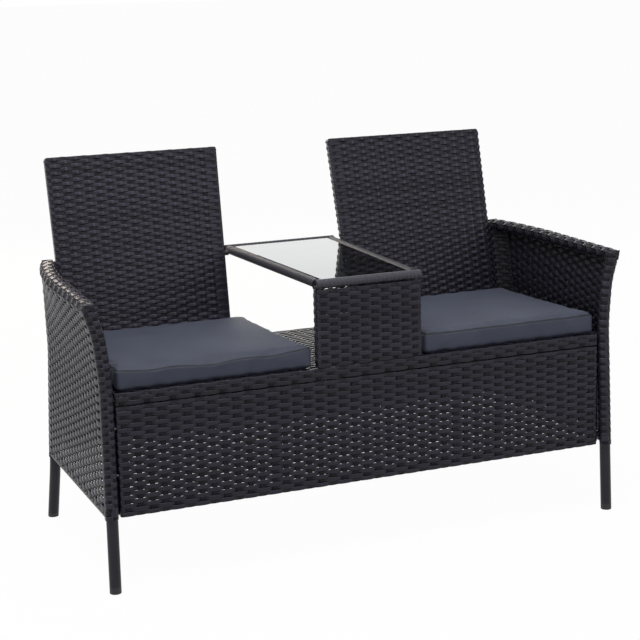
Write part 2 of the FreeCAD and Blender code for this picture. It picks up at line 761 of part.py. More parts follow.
apronHigh = apronTubes["apron_top_rail"] - frameRadius - 0.1
apronStiles = [tubeShape(onApron(x, -panelTubeDepth, apronLow), onApron(x, -panelTubeDepth, apronHigh),
                         frameRadius, size("smallWall"))
               for x in (-apronStileX, -midStileX, midStileX, apronStileX)]
apronStileHoles = holeTool("apron_stile_holes", ["apron_bolts"])
drilled("apron_stiles", group("apron_stile_tubes", apronStiles), apronStileHoles)

# Backs, woven on both faces round a hidden frame whose stiles reach down behind the seat
length = "(dims.backTopZ - dims.backBottomZ) / cos(dims.recline)"
smallRadius = size("smallTubeRadius")


def slab(name, inset, corner, footCorner, depthFormula):
    """A tapered upright slab, its outline drawn in by the inset and its corners rounded."""
    body = doc.addObject("PartDesign::Body", name)
    outline = sketchOn(body, "XZ_Plane", "Outline")
    polygon(outline, [(f"dims.backInnerFoot + {inset}", f"{inset}"),
                      (f"dims.backOuterFoot - {inset}", f"{inset}"),
                      (f"dims.backOuterTop - {inset}", f"{length} - {inset}"),
                      (f"dims.backInnerTop + {inset}", f"{length} - {inset}")])
    outline.setExpression("AttachmentOffset.Base.z", f"-{inset}")
    solid = pad(body, outline, depthFormula, reverse=True)
    doc.recompute()
    top = size("backThick")
    upper = edgeNames(solid.Shape, lambda box, edge: box.YLength > 5 and box.ZMin > top)
    lower = edgeNames(solid.Shape, lambda box, edge: box.YLength > 5 and box.ZMin < top)
    shaped = roundOff(body, solid, upper, corner)
    lower = edgeNames(shaped.Shape, lambda box, edge: box.YLength > 5 and box.ZMax < top)
    return body, roundOff(body, shaped, lower, footCorner)


backOutside, backPlain = slab("back_outside", "0", size("backCorner"), 7.0, "dims.backThick")
flatEdges = edgeNames(backPlain.Shape, lambda box, edge: box.YLength < 0.01)
roundOff(backOutside, backPlain, flatEdges, 6.0)
roomDepth = f"dims.backThick - 2 * {skin}"
backRoom = slab("back_room", skin, size("backCorner") - skinThick, 4.0, roomDepth)[0]
for body in (backOutside, backRoom):
    body.Placement = backPlace
backHollow = cutFrom("back_hollow", backOutside, backRoom)

stileTop = backLength - size("backCorner")
stilePaths = []
for edgeOf, inset in ((backInner, stileInset), (backOuter, -stileInset)):
    head = onBack(edgeOf(stileTop) + inset, stileDepth, stileTop)
    foot = onBack(edgeOf(0) + inset, stileDepth, 0)
    knee = foot + (foot - head) * ((foot.y - size("backTabY")) / (head.y - foot.y))
    stilePaths.append(bentWire([Vector(knee.x, knee.y, size("backTabZ")), knee, head], [80.0]))
stiles = [sweep(path, ring(path, smallRadius)).cut(sweep(path, ring(path, smallRadius - size("smallWall"))))
          for path in stilePaths]
stileRoom = feature("back_stile_room", Part.makeCompound(
    [sweep(path, ring(path, smallRadius + 0.1)) for path in stilePaths]))
drilled("right_back_stiles", group("back_stile_tubes", stiles),
        holeTool("back_stile_holes", ["back_bolts", "tie_bolts", "table_bolts"]))
railUps = (stileInset + 1.5, backLength / 2, stileTop - smallRadius - 1)
backRails = [tubeShape(onBack(backInner(up) + stileInset + smallRadius + 0.2, stileDepth, up),
                       onBack(backOuter(up) - stileInset - smallRadius - 0.2, stileDepth, up),
                       smallRadius, size("smallWall")) for up in railUps]
keep(group("right_back_rails", backRails), "right_back_rails")
backOpen = cutFrom("back_open", backHollow, stileRoom)
drilled("right_back_weave", backOpen, holeTool("back_weave_holes", ["tie_bolts", "table_bolts"]))

# Table: four wrapped rails on a woven front panel, bolted to the backs behind
tableRails = {}
for name, reach, y in (("table_front_rail", tableFrontX + 9, tableFrontY),
                       ("table_rear_rail", tableRearX + 9, tableRearY)):
    tableRails[name] = (Vector(-reach, y, tableRailZ), Vector(reach, y, tableRailZ))
for side, word in ((-1, "left"), (1, "right")):
    low = tableFrontY + tableRailRadius + 0.1
    high = tableRearY - tableRailRadius - 0.1
    tableRails[f"table_{word}_rail"] = (Vector(side * tableSideX(low), low, tableRailZ),
                                        Vector(side * tableSideX(high), high, tableRailZ))
wrapShapes = []
for name, (start, end) in tableRails.items():
    tube = straightTube(name + "_tube", start, end, "dims.smallTubeRadius")
    drilled(name, tube, holeTool(name + "_holes", ["table_bolts"]))
    spare = 1.5 if "front" in name or "rear" in name else 0.0
    along = (end - start).normalize()
    wrapShapes.append(tubeShape(start - along * spare, end + along * spare, tableRailRadius,
                                size("wrapThick") - 0.1))
uprightTop = tableRailZ
uprightLines = [(Vector(x, uprightY, uprightFoot), Vector(x, uprightY, uprightTop))
                for x in (-uprightX, uprightX)]
frontRailRoom = Part.makeCylinder(smallRadius + 0.1, 2 * size("tableFrontHalf"),
                                  Vector(-size("tableFrontHalf"), tableFrontY, tableRailZ), outward)
uprights = [tubeShape(low, high, frameRadius, size("smallWall")).cut(frontRailRoom)
            for low, high in uprightLines]
uprightRoom = [Part.makeCylinder(frameRadius + 0.1, 300, low, Vector(0, 0, 1)) for low, high in uprightLines]
keep(group("table_uprights", uprights), "table_uprights")
wrapRoom = feature("table_wrap_room", Part.makeCompound(
    [Part.makeCylinder(frameRadius + 0.1, uprightTop - uprightFoot, low, Vector(0, 0, 1))
     for low, high in uprightLines]))
wrapsOpen = cutFrom("table_wraps_open", group("table_wrap_tubes", wrapShapes), wrapRoom)
drilled("table_wraps", wrapsOpen, holeTool("table_wrap_holes", ["table_bolts"]))

panelHigh = "dims.tableTopZ - 2 * (dims.smallTubeRadius + dims.wrapThick) - 2"
panelLow = "dims.seatFrontZ + 1"
tableHalf = "dims.tableFrontHalf"
panelTray = tray("table_panel", box4(f"-{tableHalf}", tableHalf, panelLow, panelHigh),
                 box4(f"-{tableHalf} + {skin}", f"{tableHalf} - {skin}", f"{panelLow} + {skin}",
                      f"{panelHigh} - {skin}"),
                 "dims.panelDepth", "XZ_Plane", 5.0)
panelTray.Placement.Base = Vector(0, size("seatFrontY"), 0)
panelRoom = feature("table_panel_room", Part.makeCompound(uprightRoom))
keep(cutFrom("table_panel_weave", panelTray, panelRoom), "table_panel_weave")
panelRailZ = (evaluate(panelLow) + panelTubeDepth, evaluate(panelHigh) - panelTubeDepth)
keep(group("table_panel_rails", [tubeShape(Vector(-uprightX + frameRadius + 0.1, uprightY, z),
                                           Vector(uprightX - frameRadius - 0.1, uprightY, z), frameRadius,
                                           size("smallWall")) for z in panelRailZ]), "table_panel_rails")
spacerStart = hangHead + outward * (8.1 + tableRailRadius + 0.2)
backFaceX = backInner((hangZ - size("backBottomZ")) / math.cos(math.radians(size("recline"))))
spacers = []
for side in (-1, 1):
    start = Vector(side * spacerStart.x, spacerStart.y, spacerStart.z)
    outer = Part.makeCylinder(6.0, backFaceX - spacerStart.x - 0.2, start, outward * side)
    spacers.append(outer.cut(Part.makeCylinder(3.3, 20, start, outward * side)))
keep(group("table_spacers", spacers), "table_spacers")

# Glass top on two flat bars with soft pads
glassTop = size("tableTopZ") - size("glassDrop")
glassFoot = glassTop - size("glassThick")
glassFrontY = tableFrontY + tableRailRadius + size("glassGap")
glassRearY = tableRearY - tableRailRadius - size("glassGap")
glassInset = tableRailRadius + size("glassGap")
barTop = glassFoot - size("padHeight")
barY = (-150.0, 150.0)
sideShapes = []
for word in ("left", "right"):
    start, end = tableRails[f"table_{word}_rail"]
    sideShapes.append(Part.makeCylinder(tableRailRadius + 0.1, (end - start).Length, start, end - start))
sideRoom = Part.makeCompound(sideShapes)
bars = []
for y in barY:
    reach = tableSideX(y)
    barStart = Vector(-reach, y - size("barWidth") / 2, barTop - size("barThick"))
    bar = Part.makeBox(2 * reach, size("barWidth"), size("barThick"), barStart)
    bars.append(bar.cut(sideRoom))
keep(group("glass_bars", bars), "glass_bars")
padX = 62.0
pads = [Part.makeCylinder(size("padRadius"), size("padHeight") - 0.05, Vector(x, y, barTop))
        for x in (-padX, padX) for y in barY]
keep(group("glass_pads", pads), "glass_pads")
glassBody = doc.addObject("PartDesign::Body", "glass_top")
glassOutline = sketchOn(glassBody, "XY_Plane", "Outline")
polygon(glassOutline, [(f"{-tableSideX(glassFrontY) + glassInset}", f"{glassFrontY}"),
                       (f"{tableSideX(glassFrontY) - glassInset}", f"{glassFrontY}"),
                       (f"{tableSideX(glassRearY) - glassInset}", f"{glassRearY}"),
                       (f"{-tableSideX(glassRearY) + glassInset}", f"{glassRearY}")])
glassPlate = pad(glassBody, glassOutline, "dims.glassThick")
doc.recompute()
plateCorners = edgeNames(glassPlate.Shape, lambda box, edge: box.ZLength > 1)
roundedPlate = roundOff(glassBody, glassPlate, plateCorners, 8.0)
arris = glassBody.newObject("PartDesign::Chamfer", "GroundEdge")
arris.Base = (roundedPlate, edgeNames(roundedPlate.Shape, lambda box, edge: box.ZLength < 0.01))
arris.Size = 0.8
glassBody.Placement.Base = Vector(0, 0, glassFoot)
keep(glassBody, "glass_top")


# Cushions: boxed pads whose sides draw in between the corners, with a crowned top
def cushionSection(inset, height, waist):
    """The pad's outline at one height: four round corners joined by sides bowed inwards."""
    halfX = size("cushionWidth") / 2 - inset
    halfY = size("cushionDepth") / 2 - inset
    corner = max(6.0, size("cushionCorner") - inset * 0.15)
    diagonal = corner * (1 - math.sqrt(0.5))
    edges = []
    quarter = [(1, -1), (1, 1), (-1, 1), (-1, -1)]
    points = []
    for sx, sy in quarter:
        nearX = Vector(sx * halfX, sy * (halfY - corner), height)
        nearY = Vector(sx * (halfX - corner), sy * halfY, height)
        apex = Vector(sx * (halfX - diagonal), sy * (halfY - diagonal), height)
        first, last = (nearY, nearX) if sx * sy < 0 else (nearX, nearY)
        points.append((first, apex, last))
    for i, (first, apex, last) in enumerate(points):
        following = points[(i + 1) % 4][0]
        middle = (last + following) / 2
        inwardStep = Vector(-middle.x, -middle.y, 0).normalize() * waist
        edges.append(Part.Arc(first, apex, last).toShape())
        edges.append(Part.Arc(last, middle + inwardStep, following).toShape())
    return Part.Wire(edges)


thick = size("cushionThick")
crown = size("cushionCrown")
cushionRings = ((7.0, 0.0), (1.5, 7.0), (0.0, thick / 2), (2.0, thick - 8), (8.0, thick - 1),
                (45.0, thick + crown * 0.5), (110.0, thick + crown * 0.85), (190.0, thick + crown))
sections = [cushionSection(inset, height, size("cushionWaist") * max(0.15, 1 - inset / 60))
            for inset, height in cushionRings]
cushionSolid = Part.makeLoft(sections, True, True)
cushionX = size("cushionInnerX") + size("cushionWidth") / 2
cushionY = size("cushionFront") + size("cushionDepth") / 2
rightCushion = feature("right_cushion", cushionSolid)
cushionPlace = FreeCAD.Placement(Vector(cushionX, cushionY, 0.5), FreeCAD.Rotation())
rightCushion.Placement = seatPlace.multiply(cushionPlace)
keep(rightCushion, "right_cushion")

# Bolts and nuts
nutShapes = []
sharedNode = {"apron_bolts": "skirt_bolts"}
boltShapes = {}
for kind, places in fixings.items():
    boltShapes.setdefault(sharedNode.get(kind, kind), []).extend(boltShape(*place[:3]) for place in places)
    nutShapes += [nutShape(head, along, nutFrom, radius) for head, along, long, nutFrom, radius in places]
keep(group("rivet_nuts", nutShapes), "rivet_nuts")
for name, shapes in boltShapes.items():
    keep(group(name, shapes), name)

# Left-hand twins
for name in [name for name in nodes if name.startswith("right_")]:
    twin = name.replace("right_", "left_")
    keep(mirrored(nodes[name], twin), twin)

doc.recompute()
faults = [obj.Name for obj in doc.Objects if "Invalid" in obj.State or "Error" in obj.State]
if faults:
    raise RuntimeError(f"objects that failed: {faults}")
for name, obj in nodes.items():
    if obj.Shape.isNull() or not obj.Shape.isValid() or not obj.Shape.Solids:
        raise RuntimeError(f"{name} has no valid solid")

os.makedirs("parts", exist_ok=True)
for name, obj in nodes.items():
    obj.Shape.exportStep(f"parts/{name}.step")
print(len(nodes), "pieces")
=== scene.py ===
import json
import bpy
import numpy as np
from mathutils import Matrix


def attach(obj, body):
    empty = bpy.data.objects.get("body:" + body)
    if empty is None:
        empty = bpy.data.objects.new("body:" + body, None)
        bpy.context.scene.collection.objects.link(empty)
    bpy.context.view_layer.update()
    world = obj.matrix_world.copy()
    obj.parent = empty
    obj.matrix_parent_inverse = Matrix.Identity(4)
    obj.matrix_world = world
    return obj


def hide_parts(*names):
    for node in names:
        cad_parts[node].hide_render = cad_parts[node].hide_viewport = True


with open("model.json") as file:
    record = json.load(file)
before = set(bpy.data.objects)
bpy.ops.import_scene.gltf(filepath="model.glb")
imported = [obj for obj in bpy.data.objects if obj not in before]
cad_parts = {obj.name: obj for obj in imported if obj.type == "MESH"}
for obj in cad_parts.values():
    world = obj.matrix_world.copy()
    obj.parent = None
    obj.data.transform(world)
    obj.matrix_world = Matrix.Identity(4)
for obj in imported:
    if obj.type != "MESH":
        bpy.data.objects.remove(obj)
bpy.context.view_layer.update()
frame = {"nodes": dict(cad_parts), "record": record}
nodes = frame["nodes"]
print("frame loaded:", len(nodes), "pieces")

mm = 0.001
sides = ((-1, "left"), (1, "right"))
chance = np.random.default_rng(11)


# Materials

def colour(code):
    # an sRGB hex value as the linear colour that a shader takes
    part = np.array([int(code[i:i + 2], 16) / 255 for i in (1, 3, 5)])
    linear = np.where(part <= 0.04045, part / 12.92, ((part + 0.055) / 1.055) ** 2.4)
    return (*linear, 1.0)


def addNode(tree, kind, inputs=None, out=0, stops=(), **settings):
    # One shader node with its settings and links; gives back one of its outputs. An input that is a socket
    # is linked, any other is set. A colour ramp's stops are (place, hex colour).
    made = tree.nodes.new("ShaderNode" + kind)
    for key, value in settings.items():
        setattr(made, key, value)
    for key, value in (inputs or {}).items():
        if isinstance(value, bpy.types.NodeSocket):
            tree.links.new(value, made.inputs[key])
        else:
            made.inputs[key].default_value = value
    for stop, (place, code) in zip(made.color_ramp.elements if stops else (), stops):
        stop.position, stop.color = place, colour(code)
    return made.outputs[out] if made.outputs else None


def newMaterial(name):
    made = bpy.data.materials.new(name)
    made.use_nodes = True
    made.node_tree.nodes.clear()
    return made, made.node_tree


def finishMaterial(tree, inputs):
    # the one shader of a material and its output
    addNode(tree, "OutputMaterial", {"Surface": addNode(tree, "BsdfPrincipled", inputs)})


def strandMaterial(name, dark, light, rough, gloss):
    # Polyethylene strand, extruded flat: satin, a little uneven in tone from strand to strand, with fine die
    # lines 0.6 mm apart that run along it. Painted shade darkens it where it dips, and its tops are painted
    # paler, partly as wear and partly as a painted highlight.
    made, tree = newMaterial(name)
    uv = addNode(tree, "UVMap", uv_map="strand")
    tone = addNode(tree, "Attribute", out="Fac", attribute_name="tone")
    depth = addNode(tree, "Attribute", out="Fac", attribute_name="depth")
    stretched = addNode(tree, "Mapping", {"Vector": uv, "Scale": (60.0, 1600.0, 1.0)})
    streak = addNode(tree, "TexNoise", {"Vector": stretched, "Scale": 1.0, "Detail": 2.0})
    mixed = addNode(tree, "Math", {0: tone, 1: 0.7}, operation="MULTIPLY")
    mixed = addNode(tree, "Math", {0: streak, 1: 0.3, 2: mixed}, operation="MULTIPLY_ADD")
    base = addNode(tree, "ValToRGB", {"Fac": mixed}, stops=((0.1, dark), (0.9, light)))
    # painted shade: the dips, depth 0.5 to 0.85, are mixed towards near black; painted highlight and wear:
    # the tops, depth under 0.05, are mixed towards pale grey
    for low, high, start, end, code in ((0.5, 0.85, 0.0, 0.6, "#08080a"), (0.0, 0.05, 0.3, 0.0, "#6a6a72")):
        share = addNode(tree, "MapRange", {"Value": depth, "From Min": low, "From Max": high,
                                           "To Min": start, "To Max": end})
        base = addNode(tree, "Mix", {"Factor": share, "A": base, "B": colour(code)}, "Result",
                       data_type="RGBA")
    bump = addNode(tree, "Bump", {"Strength": 0.25, "Distance": 0.0002, "Height": streak})
    finishMaterial(tree, {"Base Color": base, "Roughness": rough, "IOR": 1.51, "Specular IOR Level": gloss,
                          "Normal": bump})
    return made


def plainMaterial(name, dark, light, spread, cloud, grain, inputs):
    # A plain finish: its tone clouds between two colours, and a fine grain stands off it as a bump. Cloud is
    # (scale, detail), grain is (scale, strength, distance), and the ramp runs from spread to 1 - spread.
    made, tree = newMaterial(name)
    place = addNode(tree, "TexCoord", out="Object")
    tone = addNode(tree, "TexNoise", {"Vector": place, "Scale": cloud[0], "Detail": cloud[1]})
    base = addNode(tree, "ValToRGB", {"Fac": tone}, stops=((spread, dark), (1 - spread, light)))
    inputs = dict(inputs, **{"Base Color": base})
    if grain:
        peel = addNode(tree, "TexNoise", {"Vector": place, "Scale": grain[0], "Detail": 1.0})
        inputs["Normal"] = addNode(tree, "Bump", {"Strength": grain[1], "Distance": grain[2], "Height": peel})
    finishMaterial(tree, inputs)
    return made


def floatGlass(name):
    # Tempered soda-lime float glass tinted nearly black in the melt: it lets little through and mirrors
    # what stands behind it, with a haze of handling marks that shows only as uneven gloss.
    made, tree = newMaterial(name)
    place = addNode(tree, "TexCoord", out="Object")
    haze = addNode(tree, "TexNoise", {"Vector": place, "Scale": 14.0, "Detail": 4.0})
    rough = addNode(tree, "MapRange", {"Value": haze, "To Min": 0.0, "To Max": 0.03})
    finishMaterial(tree, {"Base Color": colour("#2a3234"), "Roughness": rough, "IOR": 1.52,
                          "Transmission Weight": 1.0})
    return made


def polyesterWeave(name, dark, light):
    # Solution-dyed polyester canvas: a plain weave of 0.9 mm threads, drawn at 1.8 mm so that it shows,
    # matt with a soft sheen, its tone clouded by wear and light, drawn in at its seams, and darkened there by
    # painted shade.
    made, tree = newMaterial(name)
    place = addNode(tree, "TexCoord", out="Object")
    cloud = addNode(tree, "TexNoise", {"Vector": place, "Scale": 9.0, "Detail": 5.0})
    slub = addNode(tree, "TexNoise", {"Vector": place, "Scale": 900.0, "Detail": 1.0})
    turn = 2 * np.pi / 0.0018
    threads = []
    for axis in ("X", "Y"):
        split = addNode(tree, "SeparateXYZ", {"Vector": place}, axis)
        scaled = addNode(tree, "Math", {0: split, 1: turn}, operation="MULTIPLY")
        threads.append(addNode(tree, "Math", {0: scaled}, operation="SINE"))
    cross = addNode(tree, "Math", {0: threads[0], 1: threads[1]}, operation="MULTIPLY")
    height = addNode(tree, "Math", {0: cross, 1: 0.5, 2: slub}, operation="MULTIPLY_ADD")
    mixed = addNode(tree, "Math", {0: height, 1: 0.12, 2: cloud}, operation="MULTIPLY_ADD")
    base = addNode(tree, "ValToRGB", {"Fac": mixed}, stops=((0.3, dark), (0.75, light)))
    away = addNode(tree, "Attribute", out="Fac", attribute_name="seam")    # mm from the seam
    away = addNode(tree, "Math", {0: away}, operation="ABSOLUTE")
    grooveAndShade = addNode(tree, "MapRange", {"Value": away, "From Min": 2.6, "From Max": 4.4, "To Min": 1.0,
                                      "To Max": 0.0})
    # painted shade: the seam's groove is mixed towards near black
    base = addNode(tree, "Mix", {"Factor": grooveAndShade, "A": base, "B": colour("#14161d")}, "Result",
                   data_type="RGBA")
    ditch = addNode(tree, "Math", {0: 1.0, 1: grooveAndShade}, operation="SUBTRACT")
    drawn = addNode(tree, "Bump", {"Strength": 0.6, "Distance": 0.0012, "Height": ditch})
    bump = addNode(tree, "Bump", {"Strength": 0.35, "Distance": 0.0003, "Height": height, "Normal": drawn})
    finishMaterial(tree, {"Base Color": base, "Roughness": 0.65, "IOR": 1.45, "Sheen Weight": 0.25,
                          "Sheen Roughness": 0.4, "Sheen Tint": colour("#aab2c4"), "Normal": bump})
    return made


strandFinish = strandMaterial("charcoalStrand", "#201e28", "#32303d", 0.33, 0.22)
# a darker, duller copy of the same strand: painted shade on the stakes, the slits, the legs' rings, the
# corner web and the table's side and rear rails
shadedStakeFinish = strandMaterial("shadedStakeStrand", "#14131a", "#1c1b23", 0.5, 0.15)
moulded = (0.2, (2000.0, 1.0), (2000.0, 0.2, 0.0001))    # with a fine spark-eroded grain of 0.5 mm
finishes = {
    "strand": strandFinish,
    # steel tube with a baked powder coat: satin, with a faint orange-peel of about 1.5 mm
    "frame_steel": plainMaterial("charcoalPowderCoat", "#18161f", "#201e29", 0.3, (25.0, 3.0),
                                 (650.0, 0.15, 0.0002),
                                 {"Roughness": 0.42, "IOR": 1.5, "Specular IOR Level": 0.3}),
    "cushion_fabric": polyesterWeave("blueGreyCanvas", "#343947", "#404555"),
    "glass": floatGlass("temperedGlass"),
    "cap_plastic": plainMaterial("blackNylon", "#111014", "#17161b", *moulded,
                                 {"Roughness": 0.5, "IOR": 1.49}),
    "pad_rubber": plainMaterial("softRubber", "#1c1c1c", "#232323", *moulded,
                                {"Roughness": 0.8, "IOR": 1.49}),
    # zinc-plated bolts, passivated dark, with a cloudy plating
    "fastener_steel": plainMaterial("darkZincPlate", "#4a4a4d", "#5c5c60", 0.3, (300.0, 3.0), None,
                                    {"Roughness": 0.38, "Metallic": 1.0}),
}
for part in frame["record"]["subparts"]:
    mesh = nodes[part["node"]].data
    mesh.materials.clear()
    mesh.materials.append(finishes[part["material_slot"]])
print("materials made:", len(finishes))


# Lines and surfaces, in millimetres

def unit(vectors):
    # each vector over its own length
    return vectors / np.linalg.norm(vectors, axis=-1, keepdims=True)


def roundedLine(corners, radii):
    # Straight runs joined by arcs: at a corner the arc's centre lies on the bisector, radius / sin(half)
    # away, and its start radius turns into its end radius. Gives points and their distances along the line.
    corners = np.array(corners, float)
    points = [corners[:1]]
    for before, here, after, radius in zip(corners, corners[1:], corners[2:], radii):
        back, ahead = unit(before - here), unit(after - here)
        half = 0.5 * np.arccos(np.clip(back @ ahead, -1, 1))
        centre = here + unit(back + ahead) * radius / np.sin(half)
        reach = radius / np.tan(half)
        start, end = here + back * reach - centre, here + ahead * reach - centre
        turn = np.pi - 2 * half
        t = np.linspace(0, 1, 25)[:, None]
        points.append(centre + (np.sin((1 - t) * turn) * start + np.sin(t * turn) * end) / np.sin(turn))
    points = np.concatenate(points + [corners[-1:]])
    distance = np.concatenate([[0], np.cumsum(np.linalg.norm(np.diff(points, axis=0), axis=1))])
    return points, distance


def bracket(low, high, foot, level, radius):
    # a line from foot to level at low, across to high, and back to foot, its two corners rounded
    return roundedLine([(low, foot), (low, level), (high, level), (high, foot)], [radius] * 2)


def lineAt(line, distance):
    # the points at distances along a rounded line, carried straight on past its two ends
    points, at = line
    inside = np.clip(distance, at[0], at[-1])
    found = np.stack([np.interp(inside, at, points[:, i]) for i in range(points.shape[1])], -1)
    spare = (distance - inside)[..., None]
    first, last = unit(points[1] - points[0]), unit(points[-1] - points[-2])
    return found + np.where(spare < 0, spare * first, spare * last)


def cornersOf(line):
    # seven distances in each arc of a rounded line
    return line[1][1:-1].reshape(-1, 25)[:, ::4].ravel()


def leanedPlace(startY, startZ, degrees):
    # gives place(x, y, z): a point of a frame that is turned about X and moved to startY, startZ
    cos, sin = np.cos(np.radians(degrees)), np.sin(np.radians(degrees))

    def place(x, y, z):
        return np.stack([x, startY + y * cos - z * sin, startZ + y * sin + z * cos], -1)
    return place


def onSurface(surface, u, v):
    # points of surface(u, v) and their normals: the slope along u crossed with the slope along v
    step = 0.4
    point = surface(u, v)
    alongU = surface(u + step, v) - surface(u - step, v)
    alongV = surface(u, v + step) - surface(u, v - step)
    return point, unit(np.cross(alongU, alongV))


def evenly(low, high, pitch):
    # places at about the pitch, centred between two limits
    count = max(1, round((high - low) / pitch))
    step = (high - low) / count
    return low + step * (np.arange(count) + 0.5)


# Strands

sectionX = np.array([-1.0, 0.0, 0.0, 1.0, 1.0, 0.0, 0.0, -1.0])
sectionLevel = np.array([0.0, -1.0, 1.0, 0.0, 0.0, 1.0, -1.0, 0.0])
sectionY = np.array([0.45, 1.0, 1.0, 0.45, -0.45, -1.0, -1.0, -0.45])


def ribbons(centres, outward, width, thick, closed=False, level=0.66):
    # Flat strands along rows of points (strands, points, 3): the section's eight points stand at
    # centre + across * x * width / 2 + up * y * thick / 2, where across is the strand's direction
    # crossed with the surface's normal and up is square to both. Level is the level share of its top's width.
    run = unit(np.roll(centres, -1, 1) - np.roll(centres, 1, 1) if closed else np.gradient(centres, axis=1))
    across = unit(np.cross(run, outward))
    up = np.cross(across, run)
    x = ((sectionX + sectionLevel * level) * width / 2)[:, None]
    y = (sectionY * thick / 2)[:, None]
    points = centres[:, :, None] + across[:, :, None] * x + up[:, :, None] * y
    strands, count = centres.shape[:2]
    index = np.arange(strands * count * 8).reshape(strands, count, 8)
    gap = np.roll(centres, -1, 1) - centres
    length = np.cumsum(np.linalg.norm(gap, axis=-1), axis=1)
    length = np.concatenate([np.zeros((strands, 1)), length], 1) + chance.uniform(0, 5000, (strands, 1))
    ahead = np.roll(index, -1, 1)
    if not closed:
        index, ahead = index[:, :-1], ahead[:, :-1]
    after = np.roll(np.arange(8), -1)
    quads = np.stack([index, index[:, :, after], ahead[:, :, after], ahead], -1)
    runs = quads.shape[1]
    near, far, low = np.broadcast_arrays(length[:, :runs, None], length[:, 1:runs + 1, None],
                                         np.arange(8) * width / 4)
    high = low + width / 4
    uv = np.stack([np.stack([near, near, far, far], -1), np.stack([low, high, high, low], -1)], -1)
    quads, uv = quads.reshape(-1, 4), uv.reshape(-1, 4, 2)
    if not closed:
        for four in ((0, 1, 2, 3), (0, 3, 4, 7), (4, 5, 6, 7)):
            quads = np.concatenate([quads, index[:, 0][:, four[::-1]], ahead[:, -1][:, four]])
        uv = np.concatenate([uv, np.zeros((6 * strands, 4, 2))])
    tone = np.repeat(chance.uniform(0, 1, strands), count * 8)
    return {"points": points.reshape(-1, 3), "quads": quads, "uv": uv * mm, "tone": tone}


def addObject(name, data):
    made = bpy.data.objects.new(name, data)
    bpy.context.scene.collection.objects.link(made)
    return made


def settle(piece, body, slot, *replaced):
    # a finished piece rides on its body and stands for its nodes
    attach(piece, body)
    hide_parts(*replaced)


def buildPiece(name, parts, *replaced, side=1):
    # Joins parts into one mesh of the bench, with x times side, and turns each part's faces so that the
    # volume they enclose, the sum of p0 . (p1 x p2) / 6 over its triangles, is positive.
    verts, quads, offset = [], [], 0
    for part in parts:
        points = part["points"] * [side, 1, 1]
        faces = part["quads"]
        a, b, c, d = (points[faces[:, i]] for i in range(4))
        volume = np.einsum("ij,ij->", a, np.cross(b, c)) + np.einsum("ij,ij->", a, np.cross(c, d))
        if volume < 0:
            faces = faces[:, ::-1]
            part["uv"] = part["uv"][:, ::-1]
        verts.append(points)
        quads.append(faces + offset)
        offset += len(points)
    mesh = bpy.data.meshes.new(name)
    mesh.from_pydata(np.concatenate(verts) * mm, [], np.concatenate(quads))
    strandMap = mesh.uv_layers.new(name="strand")
    strandMap.data.foreach_set("uv", np.concatenate([part["uv"] for part in parts]).ravel())
    for key in ("tone", "depth"):
        values = np.concatenate([part.get(key, part["tone"] * 0) for part in parts])
        mesh.attributes.new(key, "FLOAT", "POINT").data.foreach_set("value", values)
    mesh.materials.append(strandFinish)
    mesh.materials.append(shadedStakeFinish)
    # slot 1, the shaded copy, is painted shade
    slots = np.concatenate([np.full(len(part["quads"]), part.get("finish", 0)) for part in parts])
    mesh.polygons.foreach_set("material_index", slots.astype(np.int32))
    mesh.shade_smooth()
    settle(addObject(name, mesh), "bench", "strand", *replaced)
    print(name, "triangles:", 2 * len(mesh.polygons))


def rowStrands(surface, rowAt, span, stakeAt, look, wave=None, first=0, closed=False, extra=()):
    # Rows of plain weave: row k stands off the surface by wave * cos(pi * (stakes passed + k)), so it goes
    # over every second stake and its neighbours over the others. Its depth is 0 on top and 1 at its lowest.
    pitch = stakeAt[1] - stakeAt[0]
    u = (stakeAt[:, None] + look["beside"] * pitch).ravel()
    u = np.concatenate([u, extra, () if closed else span])
    u = np.unique(u[(u >= span[0]) & (u <= span[1])].round(1))
    k = np.arange(len(rowAt))[:, None] + first
    jitter = chance.normal(0, look["unevenness"], len(rowAt))
    u2, v2 = np.meshgrid(u, rowAt + jitter)
    point, out = onSurface(surface, u2, v2)
    ends = [[2 * stakeAt[0] - stakeAt[1]], stakeAt, [2 * stakeAt[-1] - stakeAt[-2]]]    # one more either way
    passed = np.interp(u2, np.concatenate(ends), np.arange(len(stakeAt) + 2) - 1)
    height = look["wave"] if wave is None else wave(u2, v2)
    height = height * (1 + chance.normal(0, 0.06, (len(rowAt), 1)))
    swing = np.cos(np.pi * (passed + k))
    lift = height * look["bend"](swing)
    made = ribbons(point + out * lift[..., None], out, look["strand"], look["thick"], closed)
    # the depth paints shade into the dips and, near 0, gives the tops a painted highlight with wear;
    # leastDepth lifts it so that the tops stay unpainted
    deep = (0.5 - 0.5 * swing) * np.clip(height / look["wave"], 0, 1) * look["deepen"]
    deep = np.maximum(deep, 0.1 * (height < 0.6 * look["wave"]) + look["leastDepth"])
    made["depth"] = np.repeat(deep.ravel(), 8)
    return made


def stakeStrands(surface, stakeAt, span, look, closed=False):
    # stakes run square to the rows and lie flat
    v = np.linspace(span[0], span[1], look["stakeSamples"], endpoint=not closed)
    v2, u2 = np.meshgrid(v, stakeAt + chance.normal(0, look["unevenness"], len(stakeAt)))
    point, out = onSurface(surface, u2, v2)
    made = ribbons(point, out, look["stake"], look["thick"], closed)
    # stakes take the shaded copy: painted shade where they lie between the rows
    made["finish"] = 1
    made["depth"] = np.full(len(made["tone"]), 0.3)
    return made


def slitStrands(surface, places, span, width, look):
    # flat strands of their own width that close a slit
    # through stakeStrands they take the shaded copy: painted shade in the slit
    return stakeStrands(surface, np.array(places), span, dict(look, stake=width, unevenness=0))


def flatBend(swing):
    # a broad strand over a broad stake: sign * abs(swing) ** 0.6
    return np.sign(swing) * np.abs(swing) ** 0.6


